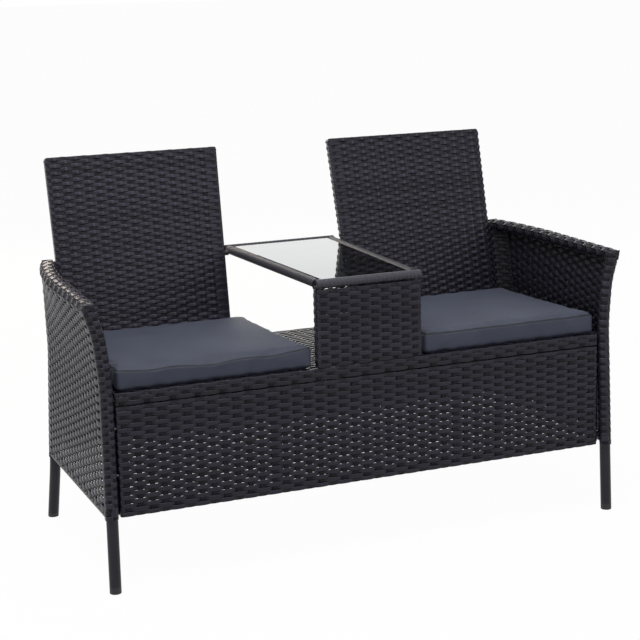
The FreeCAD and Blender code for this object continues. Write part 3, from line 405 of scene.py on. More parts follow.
def tentBend(swing):
    # a strand drawn tight over thin stakes: straight runs with a crease at each stake, 2 / pi * arcsin(swing)
    return 2 / np.pi * np.arcsin(np.clip(swing, -1, 1))


# What the woven pieces share. Beside is where a row has its points, in stake pitches from each stake.
# Deepen scales the depth, and with it the painted shade in the dips; leastDepth is the least depth, which
# keeps the tops from the painted highlight.
weaveLook = {"beside": np.array([-0.42, -0.22, 0.0, 0.22, 0.42]), "bend": flatBend, "thick": 1.2,
             "deepen": 1.0, "leastDepth": 0.06}

# Seat: rows run from end to end and turn down at the ends, and three more rows cover each of its two lips
seatLook = dict(weaveLook, beside=np.array([-0.38, -0.14, 0.14, 0.38]), stakeSamples=26, wave=1.6, strand=9.8,
                stake=11.0, unevenness=0.12, rowPitch=9.15, stakePitch=27.5, halfWidth=577.0, depth=452.0,
                drop=25.0, corner=6.0, sink=1.5, frontY=-281.7, frontZ=424.0, slope=-1.8, flatWithin=18.0,
                lipRows=np.array([-20.4, -12.2, -4.4]), lipStrand=9.2)
seatPlace = leanedPlace(seatLook["frontY"], seatLook["frontZ"], seatLook["slope"])
sink, drop, bend = seatLook["sink"], seatLook["drop"], seatLook["corner"] - seatLook["sink"]
reach = seatLook["halfWidth"] - sink
seatAcross = bracket(-reach, reach, -drop, -sink, bend)
seatDeep = bracket(sink, seatLook["depth"] - sink, -drop, -sink, bend)
lipAcross = bracket(-reach, reach, drop, sink, bend)


def seatTop(u, v):
    # the seat's upper face: u runs round the ends, v goes rearwards
    across = lineAt(seatAcross, u)
    return seatPlace(across[..., 0], v, across[..., 1])


def seatLip(u, v):
    # the front lip: u runs along it, v is the height
    across = lineAt(lipAcross, u)
    return seatPlace(across[..., 0], across[..., 1], v)


def seatTail(u, v):
    # the rear lip: u runs along it, v is the height
    across = lineAt(lipAcross, u)
    return seatPlace(across[..., 0], seatLook["depth"] - across[..., 1], v)


def seatFold(u, v):
    # the stakes' way: u is x, v runs up the lip, over the seat and down behind
    deep = lineAt(seatDeep, v)
    return seatPlace(u, deep[..., 0], deep[..., 1])


def seatWave(u, v):
    # the rows lie flatter near the front and rear edges
    inside = np.minimum(v, seatLook["depth"] - v) / seatLook["flatWithin"]
    return seatLook["wave"] * np.clip(inside, 0.25, 1)


seatLength, lipLength = seatAcross[1][-1], lipAcross[1][-1]
seatStakes = evenly(-reach, reach, seatLook["stakePitch"])
seatRows = evenly(5.5, seatLook["depth"] - 3, seatLook["rowPitch"])
lipLook = dict(seatLook, strand=seatLook["lipStrand"])
lip = [seatLook["lipRows"], (8, lipLength - 8), seatStakes + lipLength / 2, lipLook]
buildPiece("seatWeave", [
    rowStrands(seatTop, seatRows, (0, seatLength), seatStakes + seatLength / 2, seatLook, wave=seatWave,
               extra=cornersOf(seatAcross)),
    rowStrands(seatTail, *lip, extra=cornersOf(lipAcross)),
    rowStrands(seatLip, *lip, first=1, extra=cornersOf(lipAcross)),
    stakeStrands(seatFold, seatStakes, (0.5, seatDeep[1][-1]), seatLook)], "seat_weave")


# Front skirt, rear apron and table panel: woven trays whose rows turn back at the ends and whose stakes turn
# back at the bottom and the top. The apron has turn -1: it looks rearwards, and leans its top forwards.
skirtLook = dict(weaveLook, stakeSamples=24, wave=2.1, strand=9.33, stake=12.0, unevenness=0.1, rowPitch=9.15,
                 stakePitch=27.5, halfWidth=577.0, low=158.5, height=237.5, faceY=-281.7, lean=0.0, turn=1,
                 back=19.0, corner=5.0, sink=1.5, flatWithin=20.0, foldRows=np.array([5.0, 12.8]),
                 foldWave=1.2, foldStrand=9.0, slitX=573.0, slitY=-266.0, slitStrand=25.0)
apronLook = dict(skirtLook, strand=10.4, wave=1.7, halfWidth=573.0, low=176.0, height=202.0, faceY=226.6,
                 lean=5.2, turn=-1)
panelLook = dict(skirtLook, strand=9.5, wave=1.7, halfWidth=125.0, low=425.0, height=171.0, rowPitch=9.0,
                 stakePitch=24.2)


def trayWeave(look):
    # rows and stakes of one tray; its own frame has x along it, y for its depth and z up from its foot
    half, height, turn, sink = look["halfWidth"], look["height"], look["turn"], look["sink"]
    plan = bracket(sink - half, half - sink, look["back"], sink, look["corner"] - sink)
    section = bracket(sink, height - sink, look["back"], sink, look["corner"] - sink)
    place = leanedPlace(look["faceY"], look["low"], look["lean"])
    length, fold = plan[1][-1], section[1][-1]

    def faceOf(u, v):
        found = lineAt(plan, u)
        return place(turn * found[..., 0], turn * found[..., 1], v)

    def foldOf(u, v):
        found = lineAt(section, v)
        return place(turn * u, turn * found[..., 1], found[..., 0])

    def endsFlat(u, v):
        # the rows lie flatter near the face's two ends
        inside = (half - np.abs(u - length / 2)) / look["flatWithin"]
        return look["wave"] * (0.3 + 0.7 * np.clip(inside, 0, 1))

    stakes = evenly(4 - half, half - 4, look["stakePitch"])
    rows = evenly(0.5, height - 0.5, look["rowPitch"])
    flat = dict(look, wave=look["foldWave"], strand=look["foldStrand"])
    inner = (5 - half, half - 5)
    return [rowStrands(faceOf, rows, (0, length), stakes + length / 2, look, wave=endsFlat,
                       extra=cornersOf(plan)),
            rowStrands(foldOf, look["foldRows"], inner, stakes, flat),
            rowStrands(foldOf, fold - look["foldRows"][::-1], inner, stakes, flat, first=len(rows)),
            stakeStrands(foldOf, stakes, (0, fold), look)]


def besideSkirt(u, v):
    # upright between the skirt's end and the leg
    return np.stack([u, u * 0 + skirtLook["slitY"], v], -1)


slits = slitStrands(besideSkirt, [-skirtLook["slitX"], skirtLook["slitX"]], (162, 396),
                    skirtLook["slitStrand"], skirtLook)
buildPiece("skirtWeave", trayWeave(skirtLook) + [slits], "skirt_weave")
buildPiece("apronWeave", trayWeave(apronLook), "apron_weave")
buildPiece("tablePanelWeave", trayWeave(panelLook), "table_panel_weave")
print("seat and skirts woven")


# Backs: rows run right round a tapered slab, stakes go up the front, over the top and down behind
backLook = dict(weaveLook, beside=np.array([-0.38, -0.13, 0.0, 0.13, 0.38]), bend=tentBend, stakeSamples=60,
                wave=1.8, strand=8.8, leastDepth=0.0, stake=11.0, unevenness=0.15, rowPitch=8.45, footY=171.15,
                footZ=412.5, recline=-13.53, length=458.43, thickness=25.0, innerFoot=157.0, innerTop=143.0,
                outerFoot=566.0, outerTop=567.0, corner=9.0, edge=6.0, sink=3.2, frontStakes=16,
                loop=863.6, loopPitch=25.4, rimWave=0.9, sillY=177.0, sillZ=411.0, sillStrand=15.0)
backPlace = leanedPlace(backLook["footY"], backLook["footZ"], backLook["recline"])
sunk = backLook["sink"]
backSection = bracket(sunk, backLook["thickness"] - sunk, 2, backLook["length"] - sunk,
                      backLook["edge"] - sunk)


def roundIn(v, top, radius):
    # how far an outline has drawn in at height v where its corner is a quarter circle of this radius
    rise = np.clip(v - (top - radius), 0, radius * 0.999)
    return radius - np.sqrt(radius ** 2 - rise ** 2)


def backEdges(v):
    # x of the inner and the outer edge at height v up the slope
    look, share = backLook, v / backLook["length"]
    return (look["innerFoot"] + (look["innerTop"] - look["innerFoot"]) * share,
            look["outerFoot"] + (look["outerTop"] - look["outerFoot"]) * share)


def backSlab(u, v):
    # The slab's skin: u is the distance along a loop that goes along the front, round the outer edge, along
    # the rear and round the inner edge, and whose second half is the first one turned by 180 degrees; v is
    # the height up the slope.
    look = backLook
    top = look["length"] - sunk
    inner, outer = backEdges(v)
    draw = roundIn(v, top, look["corner"] - sunk)
    low, high = inner + sunk + draw, outer - sunk - draw
    thin = roundIn(v, top, look["edge"] - sunk)
    front, rear = sunk + thin, look["thickness"] - sunk - thin
    radius = np.minimum(look["edge"] - sunk, (rear - front) / 2)
    flat, side = high - low - 2 * radius, rear - front - 2 * radius
    arc = np.pi / 2 * radius
    halves = np.mod(u / look["loop"], 1.0) * 2
    second = halves >= 1
    way = (halves - second) * (flat + side + 2 * arc) - arc / 2    # starts in the middle of the inner corner
    early = np.clip(way / radius, -np.pi / 4, 0)
    turn1 = np.clip((way - flat) / radius, 0, np.pi / 2)
    turn2 = np.clip((way - flat - arc - side) / radius, 0, np.pi / 2)
    x = np.clip(way, 0, flat) + radius * (np.sin(early) + np.sin(turn1) + np.cos(turn2))
    y = np.clip(way - flat - arc, 0, side) + radius * (2 - np.cos(early) - np.cos(turn1) + np.sin(turn2))
    x = np.where(second, high - low - x, x) + low
    y = np.where(second, rear - front - y, y) + front
    return backPlace(x, y, v)


def backFold(u, v):
    # the stakes' way: u is the width's share in 1000, v runs up the front, over the top and down the rear
    found = lineAt(backSection, v)
    low, high = backEdges(found[..., 1])
    return backPlace(low + (high - low) * u / 1000, found[..., 0], found[..., 1])


def backRim(u, v):
    # the rows on top: u runs from the inner corner to the outer one and dips at both, v is the depth
    radius = backLook["corner"] - sunk
    over = np.clip(np.maximum(radius - u, u - (rimWidth - radius)), 0, radius * 0.98)
    dip = radius - np.sqrt(radius ** 2 - over ** 2)
    return backPlace(backLook["innerTop"] + sunk + u, v, backLook["length"] - sunk + 0.2 - dip)


def backWave(u, v):
    # the rows lie flatter where they go round the slab's two edges
    share = np.mod(u / backLook["loop"] * 2, 1.0)
    edge = np.clip((np.minimum(share, 1.0 - share) * len(loopStakes) / 2 - 0.4) / 0.5, 0, 1)
    return backLook["wave"] * (0.12 + 0.88 * edge)


def backSill(u, v):
    # level under the back's front face, where it closes the slit behind the seat: u is its height
    return np.stack([v, u * 0 + backLook["sillY"], u], -1)


backRows = evenly(3, backLook["length"] - 2.5, backLook["rowPitch"])
loopStakes = evenly(0, backLook["loop"], backLook["loopPitch"])
frontShare = evenly(0, 1, 1 / backLook["frontStakes"])
rimWidth = backLook["outerTop"] - backLook["innerTop"] - 2 * sunk
rimTurns = np.array([3.0, 5.0, 8.0, 11.0, 406.0, 409.0, 412.0, 415.0])    # extra points where the rim dips
loopTurns = np.array([407.3, 411.1, 414.9, 428.0, 431.8, 435.6, 839.1, 842.9, 846.7, 859.8, 0.0, 3.8])
for side, word in sides:
    buildPiece(word + "BackWeave", [
        rowStrands(backSlab, backRows, (0, backLook["loop"] - 0.5), loopStakes, backLook, wave=backWave,
                   closed=True, extra=loopTurns),
        rowStrands(backRim, np.array([8.4, 16.6]), (1, rimWidth - 1), frontShare * rimWidth,
                   dict(backLook, wave=backLook["rimWave"]), extra=rimTurns),
        stakeStrands(backFold, 1000 * frontShare, (0, backSection[1][-1]), backLook),
        slitStrands(backSill, [backLook["sillZ"]], (159, 564), backLook["sillStrand"], backLook)],
        word + "_back_weave", side=side)
print("backs woven")


# End frames: the rows go round the front leg, along the flared side and round the rear leg. Closed rings
# cover the legs' inner halves, and a short web and a flat strand close the corner behind the back.
endLook = dict(weaveLook, stakeSamples=60, wave=2.5, strand=10.7, leastDepth=0.0, deepen=1.2, stake=9.0,
               unevenness=0.12, rowPitch=9.0, stakePitch=25.2, legRound=13.3, legWave=0.95, flatWithin=20.0,
               foot=159.0, low=178.0, high=599.0, reach=500.0, flareFrom=430.0, flareTo=604.0, bulge=21.0,
               rise=9.0)
legLook = dict(endLook, radius=12.9, wave=0.6, strand=9.4, leastDepth=0.06, low=165.0, high=597.0)
webLook = dict(endLook, wave=1.4, strand=9.4, leastDepth=0.3, stake=6.0, low=436.0, width=40.0, startX=564.0,
               startY=180.0, startZ=424.0, across=35.0, forward=30.0, lean=0.235)
cornerLook = {"x": 571.5, "y": 201.0, "z": 430.0, "lean": 0.215, "strand": 11.0}
lowerLook = {"radius": 8.9, "pitch": 8.7, "strand": 8.4, "thick": 1.2, "perTurn": 20, "level": 0.9}
frontLeg = roundedLine([(598.5, -289, 0), (592, -274.8, 450), (601, -271.9, 545), (619, -270, 604)],
                       [500, 240])
rearLeg = roundedLine([(601.5, 258.5, 0), (597.3, 222.6, 132), (588.5, 196, 424), (582.5, 240, 624)],
                      [250, 150])
lowerRail = roundedLine([(600.6, -272.2, 168), (600.7, 207.8, 168)], [])
endArc = np.pi * endLook["legRound"]
endLength = 2 * endArc + endLook["reach"]
rearArc = endArc + endLook["reach"]
endStakes = np.concatenate([[endArc * 0.3, endArc * 0.78],
                            endArc + evenly(10, endLook["reach"] - 10, endLook["stakePitch"]),
                            rearArc + endArc * np.array([0.22, 0.7])])
endTurns = np.concatenate([np.linspace(0, endArc, 12), rearArc + np.linspace(0, endArc, 12)])


def legPlan(line, z):
    # where a leg's centre stands at height z
    return (np.interp(z, line[0][:, 2], line[0][:, i]) for i in (0, 1))


def endSkin(u, v):
    # u is the distance along a row: half round the front leg from its inner side, along the side, and half
    # round the rear leg; v is the height. The side stands off the legs by
    # bulge * flare * sin(pi * t ** 1.36), which is greatest at 60% of its length, and its rear rises by
    # rise * flare. Above 590 mm it goes straight up.
    look = endLook
    r = look["legRound"]
    top = np.minimum(v, 590)
    frontX, frontY = legPlan(frontLeg, top)
    t = np.clip((u - endArc) / look["reach"], 0, 1)
    flare = np.clip((top - look["flareFrom"]) / (look["flareTo"] - look["flareFrom"]), 0, 1) ** 2
    height = v + look["rise"] * flare * t
    rearX, rearY = legPlan(rearLeg, height)
    front = np.clip(u / r, None, np.pi)
    rear = np.clip((u - rearArc) / r, 0, None)
    stand = look["bulge"] * flare * np.sin(np.pi * t ** 1.36)
    x = frontX + (rearX - frontX) * t + stand
    x = x - r * np.cos(front) * (rear <= 0) + r * np.cos(rear) * (rear > 0)
    y = frontY + (rearY - frontY) * t - r * np.sin(front) * (front < np.pi) + r * np.sin(rear)
    return np.stack([x, y, height], -1)


def endWave(u, v):
    # flatter where the rows lie on the legs
    inside = np.clip(np.minimum(u - endArc, rearArc - u) / endLook["flatWithin"], 0, 1)
    return endLook["legWave"] + (endLook["wave"] - endLook["legWave"]) * inside


def tubeSkin(line, radius):
    # A tube round a line: u goes round, v is the distance along. The section's sideways direction is square
    # to the line and level; its other one is square to both.
    def skin(u, v):
        run = unit(lineAt(line, v + 1.5) - lineAt(line, v - 1.5))
        side = unit(np.cross(run, [0.0, 0.0, 1.0]) + [1e-9, 0, 0])
        angle = (-u / radius)[..., None]
        return lineAt(line, v) + radius * (side * np.cos(angle) + np.cross(side, run) * np.sin(angle))
    return skin


def legRings(line, first):
    # closed rows round a leg, under the side's rows, so that its inner half is woven too
    around = 2 * np.pi * legLook["radius"]
    rows = np.arange(legLook["low"], legLook["high"], legLook["rowPitch"])
    made = rowStrands(tubeSkin(line, legLook["radius"]), rows, (0, around - 0.5),
                      evenly(0, around, around / 4), legLook, first=first, closed=True)
    # the shaded copy and a depth of at least 0.8 paint shade on the rings in the dark inner corner
    made["finish"] = 1
    made["depth"] = np.maximum(made["depth"], 0.8)
    return made


def cornerSlit(u, v):
    # upright between the back's edge and the rear leg
    return np.stack([u, cornerLook["y"] + (v - cornerLook["z"]) * cornerLook["lean"], v], -1)


def cornerWeb(u, v):
    # short rows close the corner between the back's edge and the side: u runs outwards, v is the height
    look, share = webLook, u / webLook["width"]
    y = look["startY"] + (v - look["startZ"]) * look["lean"] - look["forward"] * share ** 2
    return np.stack([look["startX"] + look["across"] * share, y, v], -1)


def helix(line, look):
    # one strand wound round a line: its angle is 2 * pi * distance / pitch
    length, radius = line[1][-1], look["radius"]
    v = np.linspace(0, length, int(length / look["pitch"] * look["perTurn"]))[None]
    u = v / look["pitch"] * 2 * np.pi * radius
    point, out = onSurface(tubeSkin(line, radius), u, v)
    out = -out if np.sum((point - lineAt(line, v)) * out) < 0 else out
    return ribbons(point, out, look["strand"], look["thick"], level=look["level"])


endRows = evenly(endLook["low"], endLook["high"], endLook["rowPitch"])
legRows = evenly(endLook["foot"], endLook["low"], endLook["rowPitch"])
webStakes = np.array([0.0, 13.3, 26.6, webLook["width"]])
webRows = evenly(webLook["low"], webLook["high"], webLook["rowPitch"])

# Arms: rows run along an oval pad, over and under stakes that go round it
armLook = dict(weaveLook, stakeSamples=30, wave=2.1, strand=9.8, deepen=1.5, leastDepth=0.0, stake=9.0,
               unevenness=0.15, rows=9, stakePitch=19.5, halfWidth=12.2, halfHeight=11.6, shift=0.95,
               spread=5.6, lopsided=0.62, square=0.74, nose=9.0, tail=12.0, undercut=6.0, undercutTo=26.0,
               endRows=np.array([-7.6, 0.0, 7.6]), endWave=0.3, endStrand=8.4)
armPath = roundedLine([(619.3, -284.5, 604.5), (619, -228, 605), (618, 30, 609), (605, 150, 611),
                       (583, 239, 613)], [60, 600, 500])
armLength = armPath[1][-1]


def armSkin(u, v):
    # The pad's skin: u goes along the arm from its front end, v round a squarish oval in 1000 shares. The
    # oval lies inwards by shift, grows wider by spread over the first half, more on its inner side, and
    # closes at both ends as a quarter ellipse. Its bottom lies back by undercut * (1 - u / undercutTo).
    look = armLook
    centre = lineAt(armPath, u)
    run = unit(lineAt(armPath, u + 2) - lineAt(armPath, u - 2))
    side = unit([1.0, 0.0, 0.0] - run * run[..., :1])
    up = np.cross(side, run)
    spread = look["spread"] * np.clip(u / (0.5 * armLength), 0, 1)
    early = (look["nose"] - u) / look["nose"]
    late = (u - armLength + look["tail"]) / look["tail"]
    closing = np.sqrt(1 - np.clip(np.maximum(early, late), 0, 0.98) ** 2)
    angle = 2 * np.pi * v / 1000
    across, upward = (np.sign(way) * np.abs(way) ** look["square"] for way in (np.cos(angle), np.sin(angle)))
    across = across * (look["halfWidth"] + spread) * closing - look["shift"] - spread * look["lopsided"]
    back = look["undercut"] * np.clip(1 - u / look["undercutTo"], 0, 1) * (1 - upward * closing) / 2
    return (centre + side * across[..., None] + up * (upward * look["halfHeight"] * closing)[..., None]
            + run * back[..., None])


def armWave(u, v):
    # the rows lie down where the pad closes at its two ends
    return armLook["wave"] * np.clip(np.minimum(u - 4, armLength - 6 - u) / 14, 0.1, 1)


def armEnd(u, v):
    # flat strands across the pad's front face: u goes across, v up
    x, y, z = armPath[0][0]
    back = armLook["undercut"] * (0.5 - v / 2 / armLook["halfHeight"])
    return np.stack([x + u, y + 1.2 + back, z + v], -1)


armStakes = evenly(4, armLength - 6, armLook["stakePitch"])
shares = np.linspace(0, 1000, 721)
oval = np.linalg.norm(np.diff(armSkin(np.full(721, armLength / 2), shares), axis=0), axis=1)
oval = np.concatenate([[0], np.cumsum(oval)])      # the rows lie at even distances round the oval
armRounds = np.interp(evenly(0, 1, 1 / armLook["rows"]), oval / oval[-1], shares)
armTurns = np.concatenate([np.linspace(1, 10, 6), armLength - np.linspace(1, 13, 7)])
for side, word in sides:
    web = rowStrands(cornerWeb, webRows, (0, webLook["width"]), webStakes, webLook)
    # the corner web takes the shaded copy: painted shade in the corner behind the back
    web["finish"] = 1
    around = {"wave": endWave, "extra": endTurns}
    buildPiece(word + "EndWeave", [
        rowStrands(endSkin, endRows, (0, endLength), endStakes, endLook, **around),
        rowStrands(endSkin, legRows, (0, endArc * 1.25), endStakes, endLook, first=1, **around),
        rowStrands(endSkin, legRows, (endLength - endArc * 1.25, endLength), endStakes, endLook, first=1,
                   **around),
        stakeStrands(endSkin, endStakes, (170, 598), endLook),
        legRings(frontLeg, 0), legRings(rearLeg, 1),
        web, stakeStrands(cornerWeb, webStakes, (432, 600), webLook),
        slitStrands(cornerSlit, [cornerLook["x"]], (430, 596), cornerLook["strand"], legLook),
        helix(lowerRail, lowerLook)], word + "_side_weave", word + "_leg_wraps", side=side)
    buildPiece(word + "ArmWeave", [
        rowStrands(armSkin, armRounds, (1, armLength - 1), armStakes, armLook, wave=armWave, extra=armTurns),
        stakeStrands(armSkin, armStakes, (0, 1000), armLook, closed=True),
        rowStrands(armEnd, armLook["endRows"], (-11.0, 11.0), np.array([-5.5, 5.5]),
                   dict(armLook, wave=armLook["endWave"], strand=armLook["endStrand"]))],
        word + "_arm_wrap", side=side)
print("end frames woven")


# Table rails: each tube is wound with one broad strand, and flat strands close the front one's two ends
railLook = {"radius": 9.8, "pitch": 9.5, "strand": 9.4, "thick": 1.1, "perTurn": 24, "level": 0.6,
            "tone": 0.7, "z": 607.5, "endStrand": 6.6, "endPitch": 6.4,
            "ends": [((-125.0, -271.2), (125.0, -271.2)), ((-144.5, 256.5), (144.5, 256.5)),
                     ((-114.5, -260.6), (-134.0, 245.9)), ((114.5, -260.6), (134.0, 245.9))]}
tableParts = []
for place, ends in enumerate(railLook["ends"]):
    wound = helix(roundedLine([(x, y, railLook["z"]) for x, y in ends], []), railLook)
    wound["tone"][:] = railLook["tone"]
    # the side and rear rails take the shaded copy: painted shade, since they are wound with the same strand
    wound["finish"] = int(place > 0)      # the sides and the rear are duller than the front
    tableParts.append(wound)


def railEnd(u, v):
    # the front rail's end: u goes across, v up, shorter towards the two sides
    x, y = railLook["ends"][0][1]
    height = v * (1 - 0.3 * (u / railLook["endPitch"]) ** 2)
    return np.stack([u * 0 + x + 0.4, y - u, railLook["z"] + height], -1)


for side in (1, -1):
    cover = slitStrands(railEnd, [-railLook["endPitch"], 0.0, railLook["endPitch"]], (-9.4, 9.4),
                        railLook["endStrand"], skirtLook)
    cover["points"] = cover["points"] * [side, 1, 1]
    tableParts.append(cover)
buildPiece("tableWraps", tableParts, "table_wraps")
print("table wound")


# Cushions
cushionLook = {"middle": np.array([351.5, 224.0, 24.0]), "half": np.array([221.5, 219.5, 23.0]),
               "topRound": np.array([10.0, 10.0, 4.5]), "footRound": np.array([10.0, 10.0, 9.0]),
               "crown": 6.5, "waist": 2.0, "mesh": 5.0, "frames": 20,
               "pressure": 4.0, "cap": 6.0, "seamTurn": 52, "seamWidth": 1.8, "seamDepth": 1.3, "pucker": 0.8,
               "puckerLong": 63, "puckerShort": 41, "puckerFade": 16, "sagFade": 45, "proud": 1.5,
               "sag": {"left": 9.0, "right": 1.0}}


def vectorsOf(data, key):
    # what a mesh holds under a key, as rows of three
    found = np.empty(len(data) * 3)
    data.foreach_get(key, found)
    return found.reshape(-1, 3)


def setCoordinates(mesh, co):
    mesh.vertices.foreach_set("co", co.ravel())
    mesh.update()


def subdivide(made, kind, levels):
    cut = made.modifiers.new("cut", "SUBSURF")
    cut.subdivision_type = kind
    cut.levels = cut.render_levels = levels
    bpy.ops.object.modifier_apply(modifier="cut")


def cushionForm(word):
    # A boxed pad in the seat's frame: each point of a unit cube is pushed out to a rounded box, its top and
    # bottom are crowned, and its sides draw in between the corners by waist * (1 - position ** 2).
    look = cushionLook
    bpy.ops.mesh.primitive_cube_add(size=1)
    made = bpy.context.object
    made.name = word + "Cushion"
    subdivide(made, "SIMPLE", 6)
    co = vectorsOf(made.data.vertices, "co") * 2
    soft = np.where(co[:, 2:] < 0, look["footRound"], look["topRound"])
    core = look["half"] - soft
    inner = np.clip(co * look["half"], -core, core)
    over = (co * look["half"] - inner) / soft
    length = np.linalg.norm(over, axis=1, keepdims=True)
    over = over / np.where(length > 0, length, 1) * np.abs(over).max(axis=1, keepdims=True)
    point = inner + over * soft
    share = np.clip(point / look["half"], -1, 1)
    crown = look["crown"] * (1 - share[:, 0] ** 2) * (1 - share[:, 1] ** 2)
    point[:, 2] += np.where(point[:, 2] > 0, crown * share[:, 2], 0)
    point[:, 0] -= look["waist"] * share[:, 0] ** 5 * (1 - share[:, 1] ** 2)
    point[:, 1] -= look["waist"] * share[:, 1] ** 5 * (1 - share[:, 0] ** 2)
    setCoordinates(made.data, point * mm)
    return made


def swell(made):
    # The pad is remeshed and blown up as cloth for some frames, and no point moves more than the cap.
    look = cushionLook
    made.data.remesh_voxel_size = look["mesh"] * mm
    bpy.ops.object.voxel_remesh()
    start = vectorsOf(made.data.vertices, "co")
    cloth = made.modifiers.new("cloth", "CLOTH")
    settings = cloth.settings
    settings.quality = 6
    settings.mass = 0.3
    settings.use_pressure = True
    settings.uniform_pressure_force = look["pressure"]
    settings.effector_weights.gravity = 0
    cloth.collision_settings.use_collision = False
    for moment in range(1, look["frames"] + 1):
        bpy.context.scene.frame_set(moment)
    seen = made.evaluated_get(bpy.context.evaluated_depsgraph_get())
    moved = vectorsOf(seen.data.vertices, "co") - start
    bpy.context.scene.frame_set(1)
    made.modifiers.remove(cloth)
    far = np.linalg.norm(moved, axis=1, keepdims=True)
    setCoordinates(made.data, start + moved * np.minimum(1, look["cap"] * mm / np.maximum(far, 1e-9)))
    return start


def sewCushion(made, rest, side, word):
    # The rest shape rides along through one subdivision. The seams run where its rounded edges turn through
    # seamTurn degrees: the cloth is drawn in there by exp(-(distance / seamWidth) ** 2), and puckers of two
    # lengths fade away from it. The top sags behind its front edge by sag * (1 - position ** 2).
    look, mesh = cushionLook, made.data
    before = mesh.attributes.new("rest", "FLOAT_VECTOR", "POINT")
    before.data.foreach_set("vector", (rest / mm).ravel())
    subdivide(made, "CATMULL_CLARK", 1)
    mesh = made.data
    rest = vectorsOf(mesh.attributes["rest"].data, "vector")
    co = vectorsOf(mesh.vertices, "co") / mm
    core = look["half"] - look["topRound"]
    corner, edge = look["topRound"][1:]
    past = np.abs(rest[:, :2]) - core[:2]
    aside = np.linalg.norm(np.maximum(past, 0), axis=1) + np.minimum(past.max(axis=1), 0)
    aside = aside - (corner - edge)
    rise = np.abs(rest[:, 2]) - core[2]
    turn = np.degrees(np.arctan2(rise, aside)) - look["seamTurn"]
    gap = np.where((rise > 0) & (aside > 0), np.radians(np.abs(turn)) * edge, 99.0)
    gap = np.where((rise <= 0) | (aside <= 0), np.hypot(rise, aside) + 8, gap)
    seam = np.exp(-(gap / look["seamWidth"]) ** 2)
    signed = np.where(aside <= 0, 3.0 + np.hypot(rise - edge, aside), gap * np.sign(turn))
    signed = np.where((rise <= 0) | (rest[:, 2] < 0), -4.1 + np.minimum(rise, 0), signed)
    way = 2 * np.pi * (rest[:, 0] + rest[:, 1])
    wave = np.sin(way / look["puckerShort"] + side)
    wave = wave + 0.7 * np.sin(way / look["puckerLong"] + 2 * side + rest[:, 2] / 9)
    pucker = look["pucker"] * wave * np.exp(-gap / look["puckerFade"])
    front = np.exp(-(rest[:, 1] + look["half"][1]) / look["sagFade"])
    front = front * np.clip(rest[:, 2] / look["half"][2], 0, 1)
    along = rest[:, 0] / look["half"][0]
    droop = look["sag"][word] * front * (1 - along ** 2) * (1 + 0.35 * np.sin(9 * along + 1))
    normal = vectorsOf(mesh.vertex_normals, "vector")
    co = co + normal * (pucker - look["seamDepth"] * seam)[:, None]
    co[:, 2] = np.maximum(co[:, 2] - droop, -look["half"][2])
    limit = look["half"][:2] + look["proud"]
    co[:, :2] = np.clip(co[:, :2], -limit, limit)
    co = co + look["middle"]
    setCoordinates(mesh, seatPlace(*co.T) * [side, 1, 1] * mm)
    mesh.attributes.new("seam", "FLOAT", "POINT").data.foreach_set("value", signed)
    mesh.attributes.remove(mesh.attributes["rest"])
    if side < 0:
        mesh.flip_normals()
    mesh.materials.append(finishes["cushion_fabric"])
    mesh.shade_smooth()
    print(made.name, "triangles:", 2 * len(mesh.polygons))


for side, word in sides:
    cushion = cushionForm(word)
    rest = swell(cushion)
    sewCushion(cushion, rest, side, word)
    settle(cushion, word + "_cushion", "cushion_fabric", word + "_cushion")
print("cushions made")


# Floor, light and camera

def seenDirectly(tree):
    # 1 for rays from the camera, off a mirror or through glass, 0 for those that only carry light
    seen = 0.0
    for kind in ("Camera", "Glossy", "Transmission"):
        ray = addNode(tree, "LightPath", out="Is " + kind + " Ray")
        seen = addNode(tree, "Math", {0: seen, 1: ray}, operation="MAXIMUM")
    return seen


def aimAt(made, at, target, roll=0):
    # stands an object at a place and looks at the target, its X axis level before it is rolled, in degrees
    at, target, roll = np.array(at, float), np.array(target, float), np.radians(roll)
    back = unit(at - target)
    right = unit(np.cross([0, 0, 1], back))
    up = np.cross(back, right)
    rolled, upright = np.cos(roll) * right + np.sin(roll) * up, -np.sin(roll) * right + np.cos(roll) * up
    made.matrix_world = Matrix(np.vstack([np.stack([rolled, upright, back, at], 1), [0, 0, 0, 1]]).tolist())


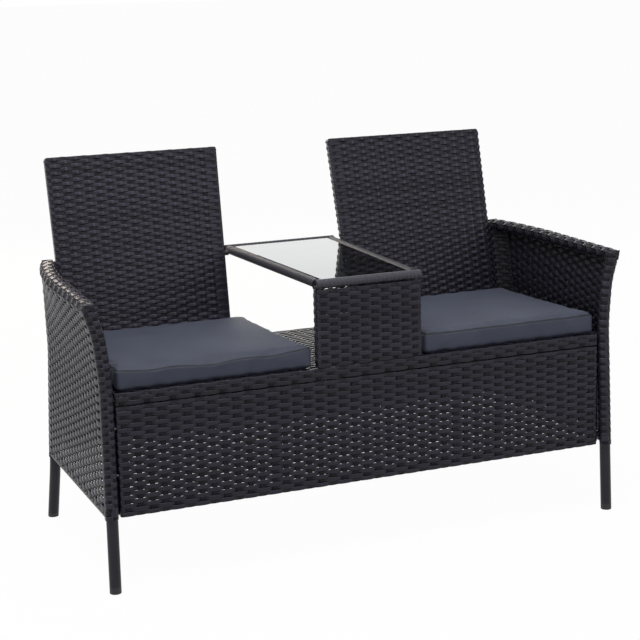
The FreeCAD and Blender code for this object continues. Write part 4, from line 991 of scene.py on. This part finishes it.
floorLook = {"size": 160.0, "glow": 0.97, "lit": "#acacac", "seen": "#ffffff"}
floorPaint, tree = newMaterial("paleFloor")
seen = seenDirectly(tree)
share = addNode(tree, "Math", {0: seen, 1: floorLook["glow"]}, operation="MULTIPLY")
paint = addNode(tree, "Mix", {"Factor": seen, "A": colour(floorLook["lit"]), "B": colour(floorLook["seen"])},
                "Result", data_type="RGBA")
matt = addNode(tree, "BsdfDiffuse", {"Color": paint})
white = addNode(tree, "Emission", {"Color": (1, 1, 1, 1), "Strength": 1.0})
addNode(tree, "OutputMaterial", {"Surface": addNode(tree, "MixShader", {0: share, 1: matt, 2: white})})
bpy.ops.mesh.primitive_plane_add(size=floorLook["size"])
floor = bpy.context.object
floor.name = "floor"
floor.data.materials.append(floorPaint)

world = bpy.data.worlds.new("studio")
world.use_nodes = True
bpy.context.scene.world = world
tree = world.node_tree
tree.nodes.clear()
dim = addNode(tree, "Background", {"Color": (1, 1, 1, 1), "Strength": 0.22})
bright = addNode(tree, "Background", {"Color": (1, 1, 1, 1), "Strength": 1.0})
both = addNode(tree, "MixShader", {0: seenDirectly(tree), 1: dim, 2: bright})
addNode(tree, "OutputWorld", {"Surface": both})

# each lamp: where it stands, what it looks at, its size, its watts and its tint
lamps = {"top": ((-0.6, -1.0, 3.2), (0, 0, 0.4), (2.4, 2.4), 68, "#ffffff"),
         "left": ((-3.2, -0.6, 1.9), (0, 0, 0.5), (1.1, 1.1), 13, "#fff0e8"),
         "right": ((1.7, -2.9, 1.35), (-0.2, 0.2, 0.6), (1.2, 1.2), 10, "#ffffff"),
         "behind": ((-0.1, 4.0, 1.9), (-0.3, 0, 0.6), (2.2, 1.8), 52, "#fff0de"),
         "rear": ((2.1, 4.0, 1.7), (0, 0, 0.6), (2.0, 1.4), 8, "#ffffff")}
for name, (at, aim, size, watts, tint) in lamps.items():
    lamp = bpy.data.lights.new(name + "Lamp", "AREA")
    lamp.shape = "RECTANGLE"
    lamp.size, lamp.size_y = size
    lamp.energy = watts
    lamp.color = colour(tint)[:3]
    made = addObject(name + "Lamp", lamp)
    made.visible_camera = False
    aimAt(made, at, aim)

view = {"target": (-8.88, -15.39, 469.33), "at": (-1382.25, -3372.36, 1255.51), "roll": -1.5, "lens": 89.92}
camera = bpy.data.cameras.new("camera")
camera.lens = view["lens"]
camera.sensor_width = 36.0
eye = addObject("camera", camera)
aimAt(eye, np.array(view["at"]) * mm, np.array(view["target"]) * mm, view["roll"])
bpy.context.scene.camera = eye
bpy.context.scene.view_settings.view_transform = "Standard"
